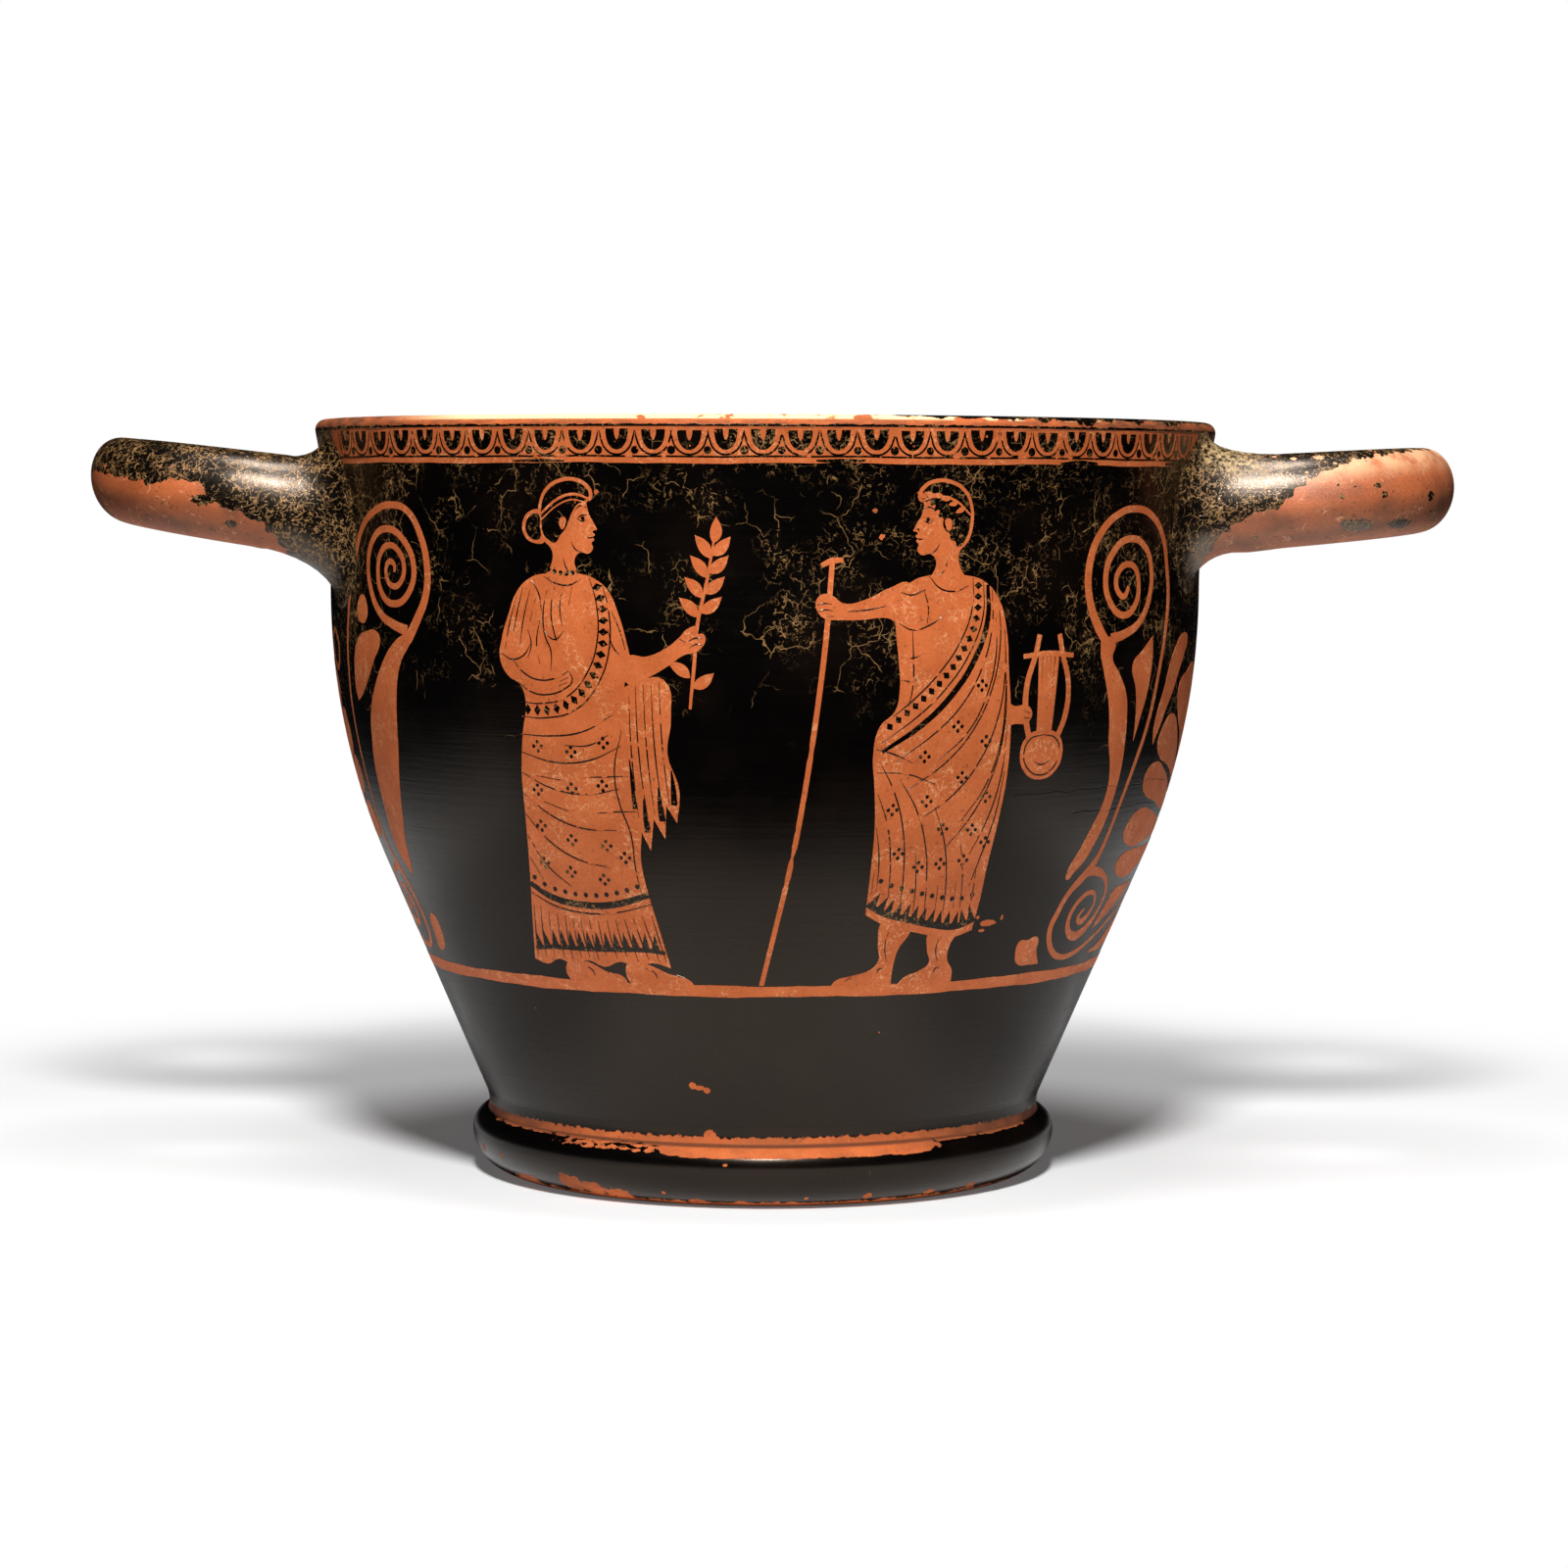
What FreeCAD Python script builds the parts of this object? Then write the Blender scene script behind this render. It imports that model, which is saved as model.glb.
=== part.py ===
# A painted clay drinking cup: a deep bowl on a ring foot, with two level loop handles under the lip.
# Millimetres, +Z up. The origin is the centre of the circle that the foot stands on, and the handles
# point along -X (left) and +X (right), so that the painted front faces -Y.
import FreeCAD, Part
import math
import os
import Sketcher

# Every size of the cup: its name, its value in millimetres (or degrees) and what it measures.
SIZES = (
    ("rim_height", 180.0, "top of the lip above the table"),
    ("neck_radius", 104.3, "outside radius at the neck, where the wall stands upright"),
    ("neck_height", 140.0, "height of the neck"),
    ("lip_curve", 200.0, "radius of the hollow curve from the neck out to the lip"),
    ("belly_curve", 165.0, "radius of the full curve below the neck"),
    ("wall_slope", 23.27, "lean of the straight lower wall, in degrees from upright"),
    ("wall_thickness", 4.8, "thickness of the wall, and of the rounded lip"),
    ("underside_height", 10.0, "height of the underside of the bowl, inside the foot"),
    ("floor_thickness", 8.0, "thickness of the bowl's floor"),
    ("floor_corner", 28.0, "radius inside the bowl where the floor turns into the wall"),
    ("foot_projection", 5.37, "how far the foot stands out past the foot of the wall"),
    ("foot_widest_height", 10.0, "height of its widest circle, and radius of the round heel below it"),
    ("foot_shoulder", 4.7, "radius of the rounded shoulder above it"),
    ("rest_width", 4.0, "width of the flat ring that the foot stands on"),
    ("foot_width", 20.4, "width of the foot's ring where it meets the bowl"),
    ("joint_spread", 1.8, "width of the clay fillet that lies on the foot"),
    ("joint_climb", 4.3, "height that the fillet climbs up the wall"),
    ("joint_edge", 0.35, "thickness of the fillet at its upper edge"),
    ("limb_spacing", 66.0, "distance between the two limbs of a handle, centre to centre"),
    ("limb_width", 18.0, "width of a limb at the wall, seen from above"),
    ("limb_depth", 22.8, "depth of a limb at the wall, seen from the front"),
    ("bend_width", 16.0, "width of the handle at the outer end of its bend"),
    ("bend_depth", 19.8, "depth of the handle at the outer end of its bend"),
    ("left_reach", 57.7, "how far the left handle reaches out past the neck"),
    ("left_drop", 21.0, "from the top of the lip down to the left handle's centre line at the wall"),
    ("left_slope", 7.6, "slope of the left handle up from the wall, in degrees"),
    ("right_reach", 61.2, "how far the right handle reaches out past the neck"),
    ("right_drop", 19.6, "from the top of the lip down to the right handle's centre line at the wall"),
    ("right_slope", 4.3, "slope of the right handle up from the wall, in degrees"),
    ("root_curve", 14.0, "radius of the hollow curve of the clay smoothed round each limb's root"),
    ("root_edge", 0.4, "thickness of that clay at its outer edge"),
    ("overrun", 12.0, "how far the solid that trims the handles runs past the lip"),
)
# A handle starts this share of the neck's radius from the axis, well inside the wall, and is trimmed there.
HANDLE_START_SHARE = 0.8
# The clay round a root is a loft through ovals. They stand at these shares of its curve's radius from the
# wall. Nearer than the first of them the curve is cut off, so that the clay stays below the lip.
ROOT_CUTOFF_SHARE = 0.14
ROOT_SHARES = (-0.25, ROOT_CUTOFF_SHARE, 0.28, 0.45, 0.7, 1.0)

doc = FreeCAD.newDocument("Cup")
sheet = doc.addObject("Spreadsheet::Sheet", "Sizes")
for row, (name, value, meaning) in enumerate(SIZES, start=1):
    sheet.set(f"A{row}", meaning)
    sheet.set(f"B{row}", str(value))
    sheet.setAlias(f"B{row}", name)
doc.recompute()


def size(name):
    return float(sheet.get(name))


def vector(x, y, z=0.0):
    return FreeCAD.Vector(x, y, z)


def origin_plane(body, role):
    return next(feature for feature in body.Origin.OriginFeatures if feature.Role == role)


def new_body(name):
    return doc.addObject("PartDesign::Body", name)


def new_sketch(body, name, role):
    sketch = body.newObject("Sketcher::SketchObject", name)
    sketch.AttachmentSupport = [(origin_plane(body, role), "")]
    sketch.MapMode = "FlatFace"
    return sketch


def place_sketch(sketch, expressions):
    """Moves a sketch off its plane. The keys name parts of its attachment, and the values are formulas."""
    for key, formula in expressions.items():
        sketch.setExpression("AttachmentOffset." + key, formula)


def dimension(sketch, name, formula, *constraint):
    """Adds a dimension with a name, and ties it to a formula in the sizes."""
    index = sketch.addConstraint(Sketcher.Constraint(*constraint))
    sketch.renameConstraint(index, name)
    sketch.setExpression("Constraints." + name, formula)


def line(sketch, start, end):
    return sketch.addGeometry(Part.LineSegment(start, end))


def arc(sketch, centre, radius, first_angle, last_angle):
    """An arc that turns anticlockwise, with its angles in radians."""
    circle = Part.Circle(centre, vector(0, 0, 1), radius)
    return sketch.addGeometry(Part.ArcOfCircle(circle, first_angle, last_angle))


# The numbers by which a sketch knows the points of an edge, its own origin and its upright axis.
START, END, CENTRE = 1, 2, 3
ORIGIN_INDEX, UPRIGHT_AXIS_INDEX = -1, -2


def join(sketch, first, first_end, second, second_end):
    sketch.addConstraint(Sketcher.Constraint("Coincident", first, first_end, second, second_end))


def join_smoothly(sketch, first, first_end, second, second_end):
    sketch.addConstraint(Sketcher.Constraint("Tangent", first, first_end, second, second_end))


def horizontal(sketch, edge):
    sketch.addConstraint(Sketcher.Constraint("Horizontal", edge))


def on_axis(sketch, edge, end):
    sketch.addConstraint(Sketcher.Constraint("PointOnObject", edge, end, UPRIGHT_AXIS_INDEX))


def on_ground(sketch, edge, end):
    sketch.addConstraint(Sketcher.Constraint("PointOnObject", edge, end, ORIGIN_INDEX))


def distance_across(sketch, name, formula, edge, end, value):
    dimension(sketch, name, formula, "DistanceX", ORIGIN_INDEX, START, edge, end, value)


def distance_up(sketch, name, formula, edge, end, value):
    dimension(sketch, name, formula, "DistanceY", ORIGIN_INDEX, START, edge, end, value)


def radius_of(sketch, name, formula, edge, value):
    dimension(sketch, name, formula, "Radius", edge, value)


def revolve(body, sketch, name):
    feature = body.newObject("PartDesign::Revolution", name)
    feature.Profile = sketch
    feature.ReferenceAxis = (sketch, ["V_Axis"])
    feature.Angle = 360
    return feature


def cut(name, base, tool):
    result = doc.addObject("Part::Cut", name)
    result.Base = base
    result.Tool = tool
    return result


slope = math.radians(size("wall_slope"))
neck = vector(size("neck_radius"), size("neck_height"))
belly_centre = vector(neck.x - size("belly_curve"), neck.y)
lip_centre = vector(neck.x + size("lip_curve"), neck.y)


def point_on_circle(centre, radius, angle):
    return vector(centre.x + radius * math.cos(angle), centre.y + radius * math.sin(angle))


def outside_of_wall(sketch, top):
    """The underside, the straight lower wall, the belly and the curve to the lip, up to about this height."""
    cone_top = point_on_circle(belly_centre, size("belly_curve"), -slope)
    drop = cone_top.y - size("underside_height")
    cone_bottom = vector(cone_top.x - drop * math.tan(slope), size("underside_height"))
    lip_angle = math.asin((top - neck.y) / size("lip_curve"))
    underside = line(sketch, vector(0, cone_bottom.y), cone_bottom)
    cone = line(sketch, cone_bottom, cone_top)
    belly = arc(sketch, belly_centre, size("belly_curve"), -slope, 0)
    lip = arc(sketch, lip_centre, size("lip_curve"), math.pi - lip_angle, math.pi)
    on_axis(sketch, underside, START)
    horizontal(sketch, underside)
    distance_up(sketch, "underside", "Sizes.underside_height", underside, START, cone_bottom.y)
    join(sketch, underside, END, cone, START)
    join_smoothly(sketch, cone, END, belly, START)
    join_smoothly(sketch, belly, END, lip, END)
    dimension(sketch, "lean", "(90 - Sizes.wall_slope) * 1 deg", "Angle", cone, math.pi / 2 - slope)
    distance_across(sketch, "neck_out", "Sizes.neck_radius", belly, END, neck.x)
    distance_up(sketch, "neck_up", "Sizes.neck_height", belly, END, neck.y)
    distance_up(sketch, "belly_up", "Sizes.neck_height", belly, CENTRE, neck.y)
    radius_of(sketch, "belly", "Sizes.belly_curve", belly, size("belly_curve"))
    radius_of(sketch, "lip", "Sizes.lip_curve", lip, size("lip_curve"))
    return underside, cone, belly, lip


# The outside of the bowl as one full solid. It isn't a piece: it trims every piece that is set against
# the bowl, so that each meets the wall face to face.
core = new_body("WallTrimmer")
core_sketch = new_sketch(core, "WallTrimmerOutline", "XZ_Plane")
underside, cone, belly, lip = outside_of_wall(core_sketch, size("rim_height") + size("overrun"))
lip_top = core_sketch.Geometry[lip].StartPoint
lid = line(core_sketch, lip_top, vector(0, lip_top.y))
axis = line(core_sketch, vector(0, lip_top.y), vector(0, size("underside_height")))
join(core_sketch, lip, START, lid, START)
horizontal(core_sketch, lid)
distance_up(core_sketch, "lid", "Sizes.rim_height + Sizes.overrun", lid, START, lip_top.y)
join(core_sketch, lid, END, axis, START)
join(core_sketch, axis, END, underside, START)
on_axis(core_sketch, axis, START)
revolve(core, core_sketch, "WallTrimmerSolid")

# The bowl, thrown in one piece: a wall of even thickness, a rounded lip and a thicker floor.
bowl = new_body("Bowl")
bowl.Label = "bowl"
bowl_sketch = new_sketch(bowl, "BowlOutline", "XZ_Plane")
thickness = size("wall_thickness")
underside, cone, belly, lip = outside_of_wall(bowl_sketch, size("rim_height"))
round_height = size("rim_height") - thickness / 2
lip_angle = math.asin((round_height - neck.y) / (size("lip_curve") + thickness / 2))
lip_round_centre = point_on_circle(lip_centre, size("lip_curve") + thickness / 2, math.pi - lip_angle)
inner_lip_curve = size("lip_curve") + thickness
inner_belly_curve = size("belly_curve") - thickness
inner_cone_top = point_on_circle(belly_centre, inner_belly_curve, -slope)
floor_height = size("underside_height") + size("floor_thickness")
corner = size("floor_corner")
inner_cone_foot_height = floor_height + corner * (1 - math.sin(slope))
inner_cone_foot = vector(
    inner_cone_top.x - (inner_cone_top.y - inner_cone_foot_height) * math.tan(slope), inner_cone_foot_height
)
corner_centre = vector(inner_cone_foot.x - corner * math.cos(slope), floor_height + corner)
lip_round = arc(bowl_sketch, lip_round_centre, thickness / 2, -lip_angle, math.pi - lip_angle)
inner_lip = arc(bowl_sketch, lip_centre, inner_lip_curve, math.pi - lip_angle, math.pi)
inner_belly = arc(bowl_sketch, belly_centre, inner_belly_curve, -slope, 0)
inner_cone = line(bowl_sketch, inner_cone_top, inner_cone_foot)
floor_corner = arc(bowl_sketch, corner_centre, corner, -math.pi / 2, -slope)
floor = line(bowl_sketch, vector(corner_centre.x, floor_height), vector(0, floor_height))
axis = line(bowl_sketch, vector(0, floor_height), vector(0, size("underside_height")))
join_smoothly(bowl_sketch, lip, START, lip_round, START)
join_smoothly(bowl_sketch, lip_round, END, inner_lip, START)
join_smoothly(bowl_sketch, inner_lip, END, inner_belly, END)
join_smoothly(bowl_sketch, inner_belly, START, inner_cone, START)
join_smoothly(bowl_sketch, inner_cone, END, floor_corner, END)
join_smoothly(bowl_sketch, floor_corner, START, floor, START)
join(bowl_sketch, floor, END, axis, START)
join(bowl_sketch, axis, END, underside, START)
join(bowl_sketch, inner_belly, CENTRE, belly, CENTRE)
horizontal(bowl_sketch, floor)
on_axis(bowl_sketch, floor, END)
bowl_sketch.addConstraint(Sketcher.Constraint("Parallel", inner_cone, cone))
distance_up(
    bowl_sketch, "round_up", "Sizes.rim_height - Sizes.wall_thickness / 2", lip_round, CENTRE, round_height
)
distance_up(
    bowl_sketch, "floor_up", "Sizes.underside_height + Sizes.floor_thickness", floor, END, floor_height
)
distance_up(bowl_sketch, "inner_neck_up", "Sizes.neck_height", inner_belly, END, neck.y)
radius_of(
    bowl_sketch, "inner_belly", "Sizes.belly_curve - Sizes.wall_thickness", inner_belly, inner_belly_curve
)
radius_of(bowl_sketch, "inner_lip", "Sizes.lip_curve + Sizes.wall_thickness", inner_lip, inner_lip_curve)
radius_of(bowl_sketch, "floor_corner", "Sizes.floor_corner", floor_corner, corner)
revolve(bowl, bowl_sketch, "BowlSolid")



# The outside of the wall at a height on its straight lower part, as a formula in the sizes.
def wall_radius_formula(height_formula):
    lean = "Sizes.wall_slope * 1 deg"
    curve_top = f"Sizes.neck_radius - Sizes.belly_curve * (1 - cos({lean}))"
    climb = f"Sizes.neck_height - Sizes.belly_curve * sin({lean}) - ({height_formula})"
    return f"({curve_top} - ({climb}) * tan({lean}))"


def wall_radius(height):
    curve_top = neck.x - size("belly_curve") * (1 - math.cos(slope))
    climb = neck.y - size("belly_curve") * math.sin(slope) - height
    return curve_top - climb * math.tan(slope)


# The ring foot, thrown by itself and set on with slip: a flat resting ring, a round heel and shoulder
# outside, and a recess under the bowl.
foot_blank = new_body("FootBlank")
foot_sketch = new_sketch(foot_blank, "FootOutline", "XZ_Plane")
heel_radius = size("foot_widest_height")
foot_top = heel_radius + size("foot_shoulder")
foot_top_formula = "Sizes.foot_widest_height + Sizes.foot_shoulder"
foot_radius = wall_radius(foot_top) + size("foot_projection")
foot_radius_formula = wall_radius_formula(foot_top_formula) + " + Sizes.foot_projection"
heel_centre = vector(foot_radius - heel_radius, heel_radius)
shoulder_centre = vector(foot_radius - size("foot_shoulder"), heel_radius)
rest_inner = heel_centre.x - size("rest_width")
recess = foot_radius - size("foot_width")
rest = line(foot_sketch, vector(rest_inner, 0), vector(heel_centre.x, 0))
heel = arc(foot_sketch, heel_centre, heel_radius, -math.pi / 2, 0)
shoulder = arc(foot_sketch, shoulder_centre, size("foot_shoulder"), 0, math.pi / 2)
top = line(foot_sketch, vector(shoulder_centre.x, foot_top), vector(recess, foot_top))
seat = line(foot_sketch, vector(recess, foot_top), vector(recess, size("underside_height")))
inside = line(foot_sketch, vector(recess, size("underside_height")), vector(rest_inner, 0))
join_smoothly(foot_sketch, rest, END, heel, START)
join_smoothly(foot_sketch, heel, END, shoulder, START)
join_smoothly(foot_sketch, shoulder, END, top, START)
join(foot_sketch, top, END, seat, START)
join(foot_sketch, seat, END, inside, START)
join(foot_sketch, inside, END, rest, START)
horizontal(foot_sketch, rest)
horizontal(foot_sketch, top)
foot_sketch.addConstraint(Sketcher.Constraint("Vertical", seat))
on_ground(foot_sketch, rest, START)
distance_across(foot_sketch, "widest_out", foot_radius_formula, heel, END, foot_radius)
radius_of(foot_sketch, "heel", "Sizes.foot_widest_height", heel, heel_radius)
radius_of(foot_sketch, "shoulder", "Sizes.foot_shoulder", shoulder, size("foot_shoulder"))
dimension(foot_sketch, "rest", "Sizes.rest_width", "Distance", rest, size("rest_width"))
distance_across(foot_sketch, "recess_out", foot_radius_formula + " - Sizes.foot_width", seat, END, recess)
distance_up(
    foot_sketch, "recess_up", "Sizes.underside_height", seat, END, size("underside_height")
)
foot_sketch.addConstraint(Sketcher.Constraint("Horizontal", heel, CENTRE, heel, END))
revolve(foot_blank, foot_sketch, "FootSolid")
foot_ring = cut("FootRing", foot_blank, core)
foot_ring.Label = "foot_ring"

# The fillet of clay worked into the corner between the wall and the foot, left unpainted on the real cup.
joint_blank = new_body("JointBlank")
joint_sketch = new_sketch(joint_blank, "JointOutline", "XZ_Plane")
joint_top = foot_top + size("joint_climb")
joint_foot = foot_top - size("joint_edge")
joint_inner = wall_radius(joint_foot) - thickness
joint_corner = vector(wall_radius(foot_top) + size("joint_spread"), joint_foot)
joint_upper = vector(wall_radius(joint_top) + size("joint_edge"), joint_top)
face = line(joint_sketch, joint_corner, joint_upper)
upper = line(joint_sketch, joint_upper, vector(joint_inner, joint_top))
back = line(joint_sketch, vector(joint_inner, joint_top), vector(joint_inner, joint_foot))
lower = line(joint_sketch, vector(joint_inner, joint_foot), joint_corner)
join(joint_sketch, face, END, upper, START)
join(joint_sketch, upper, END, back, START)
join(joint_sketch, back, END, lower, START)
join(joint_sketch, lower, END, face, START)
horizontal(joint_sketch, upper)
horizontal(joint_sketch, lower)
joint_sketch.addConstraint(Sketcher.Constraint("Vertical", back))
joint_foot_formula = foot_top_formula + " - Sizes.joint_edge"
joint_top_formula = foot_top_formula + " + Sizes.joint_climb"
distance_up(joint_sketch, "lower_up", joint_foot_formula, lower, START, joint_foot)
distance_up(joint_sketch, "upper_up", joint_top_formula, upper, START, joint_top)
distance_across(
    joint_sketch, "back_out", wall_radius_formula(joint_foot_formula) + " - Sizes.wall_thickness",
    back, START, joint_inner,
)
distance_across(
    joint_sketch, "corner_out", wall_radius_formula(foot_top_formula) + " + Sizes.joint_spread",
    lower, END, joint_corner.x,
)
distance_across(
    joint_sketch, "upper_out", wall_radius_formula(joint_top_formula) + " + Sizes.joint_edge",
    face, END, joint_upper.x,
)
revolve(joint_blank, joint_sketch, "JointSolid")
foot_joint_fillet = cut("FootJointFillet", cut("JointOnWall", joint_blank, core), foot_blank)
foot_joint_fillet.Label = "foot_joint_fillet"


def oval(sketch, width_formula, depth_formula, width, depth):
    """An ellipse round the sketch's origin, this wide across it and this deep up it."""
    upright = depth > width
    long_half = max(width, depth) / 2
    short_half = min(width, depth) / 2
    if upright:
        edge = sketch.addGeometry(Part.Ellipse(vector(0, long_half), vector(-short_half, 0), vector(0, 0)))
    else:
        edge = sketch.addGeometry(Part.Ellipse(vector(long_half, 0), vector(0, short_half), vector(0, 0)))
    sketch.exposeInternalGeometry(edge)
    long_axis = edge + 1
    short_axis = long_axis + 1
    join(sketch, edge, CENTRE, ORIGIN_INDEX, START)
    sketch.addConstraint(Sketcher.Constraint("Vertical" if upright else "Horizontal", long_axis))
    width_axis, depth_axis = (short_axis, long_axis) if upright else (long_axis, short_axis)
    dimension(sketch, "width", width_formula, "Distance", width_axis, width)
    dimension(sketch, "depth", depth_formula, "Distance", depth_axis, depth)


def handle_blank(side):
    """One bent bar of oval section, thickest at the wall, before it is trimmed to the bowl."""
    title = side.capitalize()
    body = new_body(title + "HandleBlank")
    rise = f"Sizes.{side}_slope * 1 deg"
    plane_height = f"(Sizes.rim_height - Sizes.{side}_drop - Sizes.neck_radius * tan({rise}))"
    start_out = f"Sizes.neck_radius * {HANDLE_START_SHARE}"
    half_spacing = size("limb_spacing") / 2
    cosine = math.cos(math.radians(size(side + "_slope")))
    start = size("neck_radius") * HANDLE_START_SHARE
    outer = (size("neck_radius") + size(side + "_reach") - size("bend_width") / 2) / cosine
    outer_formula = f"(Sizes.neck_radius + Sizes.{side}_reach - Sizes.bend_width / 2) / cos({rise})"
    bend_start = outer - half_spacing

    path = new_sketch(body, title + "HandlePath", "XY_Plane")
    path.AttachmentOffset = FreeCAD.Placement(vector(0, 0), FreeCAD.Rotation(vector(0, -1), 1))
    place_sketch(path, {"Base.z": plane_height, "Rotation.Angle": rise})
    limb = line(path, vector(start, half_spacing), vector(bend_start, half_spacing))
    bend = arc(path, vector(bend_start, 0), half_spacing, 0, math.pi / 2)
    horizontal(path, limb)
    join_smoothly(path, limb, END, bend, END)
    on_ground(path, bend, START)
    on_ground(path, bend, CENTRE)
    distance_across(path, "start_out", start_out, limb, START, start)
    distance_across(path, "outer_out", outer_formula, bend, START, outer)
    radius_of(path, "bend", "Sizes.limb_spacing / 2", bend, half_spacing)

    root = new_sketch(body, title + "HandleRootSection", "YZ_Plane")
    root.AttachmentOffset = FreeCAD.Placement(vector(0, 0), FreeCAD.Rotation(vector(-1, 0), 1))
    place_sketch(root, {
        "Base.x": "Sizes.limb_spacing / 2",
        "Base.y": f"{plane_height} + {start_out} * sin({rise})",
        "Base.z": f"{start_out} * cos({rise})",
        "Rotation.Angle": rise,
    })
    oval(root, "Sizes.limb_width", "Sizes.limb_depth", size("limb_width"), size("limb_depth"))

    tip = new_sketch(body, title + "HandleBendSection", "XZ_Plane")
    tip.AttachmentOffset = FreeCAD.Placement(vector(0, 0), FreeCAD.Rotation(vector(0, 0, 1), 1))
    place_sketch(tip, {
        "Base.x": f"{outer_formula} * cos({rise})",
        "Base.y": f"{plane_height} + {outer_formula} * sin({rise})",
        "Rotation.Angle": rise,
    })
    oval(tip, "Sizes.bend_width", "Sizes.bend_depth", size("bend_width"), size("bend_depth"))

    doc.recompute()
    half = body.newObject("PartDesign::AdditivePipe", title + "HandleHalf")
    half.Profile = root
    half.Spine = (path, ["Edge1", "Edge2"])
    half.Transformation = "Multisection"
    half.Sections = [(tip, [""])]
    doc.recompute()
    whole = body.newObject("PartDesign::Mirrored", title + "HandleWhole")
    whole.Originals = [half]
    whole.MirrorPlane = (origin_plane(body, "XZ_Plane"), [""])
    body.Tip = whole
    return body


def root_blank(side, place, sign):
    """The clay smoothed round one limb's root: ovals that grow and turn towards the wall."""
    title = side.capitalize() + place.capitalize() + "Root"
    body = new_body(title + "Blank")
    rise = f"Sizes.{side}_slope * 1 deg"
    height = f"(Sizes.rim_height - Sizes.{side}_drop)"
    above_neck = f"({height} - Sizes.neck_height)"
    lip_flare = f"(Sizes.lip_curve - sqrt(Sizes.lip_curve ^ 2 - {above_neck} ^ 2))"
    wall_at_root = f"(Sizes.neck_radius + {lip_flare})"
    turn = f"asin(Sizes.limb_spacing / 2 / {wall_at_root})"
    wall_out = f"sqrt({wall_at_root} ^ 2 - (Sizes.limb_spacing / 2) ^ 2)"
    sections = []
    for number, share in enumerate(ROOT_SHARES):
        depth_into_curve = 1 - max(share, ROOT_CUTOFF_SHARE)
        spread_share = 1 - math.sqrt(1 - depth_into_curve ** 2)
        spread = f"2 * (Sizes.root_curve * {spread_share} + Sizes.root_edge)"
        spread_value = 2 * (size("root_curve") * spread_share + size("root_edge"))
        out = f"({wall_out} + Sizes.root_curve * {share})"
        section = new_sketch(body, f"{title}Section{number}", "YZ_Plane")
        section.AttachmentOffset = FreeCAD.Placement(vector(0, 0), FreeCAD.Rotation(vector(0, sign), 1))
        place_sketch(section, {
            "Base.x": f"{sign} * Sizes.limb_spacing / 2",
            "Base.y": f"{height} + ({out} - Sizes.neck_radius) * tan({rise})",
            "Base.z": out,
            "Rotation.Angle": f"{turn} * {1 - max(share, 0)}",
        })
        oval(
            section, "Sizes.limb_width + " + spread, "Sizes.limb_depth + " + spread,
            size("limb_width") + spread_value, size("limb_depth") + spread_value,
        )
        sections.append(section)
    doc.recompute()
    loft = body.newObject("PartDesign::AdditiveLoft", title + "Loft")
    loft.Profile = sections[0]
    loft.Sections = [(section, [""]) for section in sections[1:]]
    return body


# The two handles and the four roots. A left-hand piece is made on the right and turned half round.
pieces = [bowl, foot_ring, foot_joint_fillet]
for side, half_turn, places in (("left", 180, ("front", "back")), ("right", 0, ("back", "front"))):
    turned = FreeCAD.Placement(vector(0, 0), FreeCAD.Rotation(vector(0, 0, 1), half_turn))
    blank = handle_blank(side)
    blank.Placement = turned
    handle = cut(side.capitalize() + "Handle", blank, core)
    handle.Label = "handle_" + side
    pieces.append(handle)
    for place, sign in zip(places, (1, -1)):
        root = root_blank(side, place, sign)
        root.Placement = turned
        title = f"{side.capitalize()}{place.capitalize()}Root"
        fillet = cut(title, cut(title + "OnWall", root, core), blank)
        fillet.Label = f"root_fillet_{side}_{place}"
        pieces.append(fillet)
doc.recompute()

for item in doc.Objects:
    if "Invalid" in item.State or "Error" in item.State:
        raise RuntimeError(f"{item.Name} failed: {item.State}")
for piece in pieces:
    if piece.Shape.isNull() or not piece.Shape.isValid() or len(piece.Shape.Solids) != 1:
        raise RuntimeError(f"{piece.Label} isn't one valid solid")

os.makedirs("parts", exist_ok=True)
for piece in pieces:
    piece.Shape.exportStep(f"parts/{piece.Label}.step")
    print(piece.Label, "volume", round(piece.Shape.Volume), "mm3")
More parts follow.
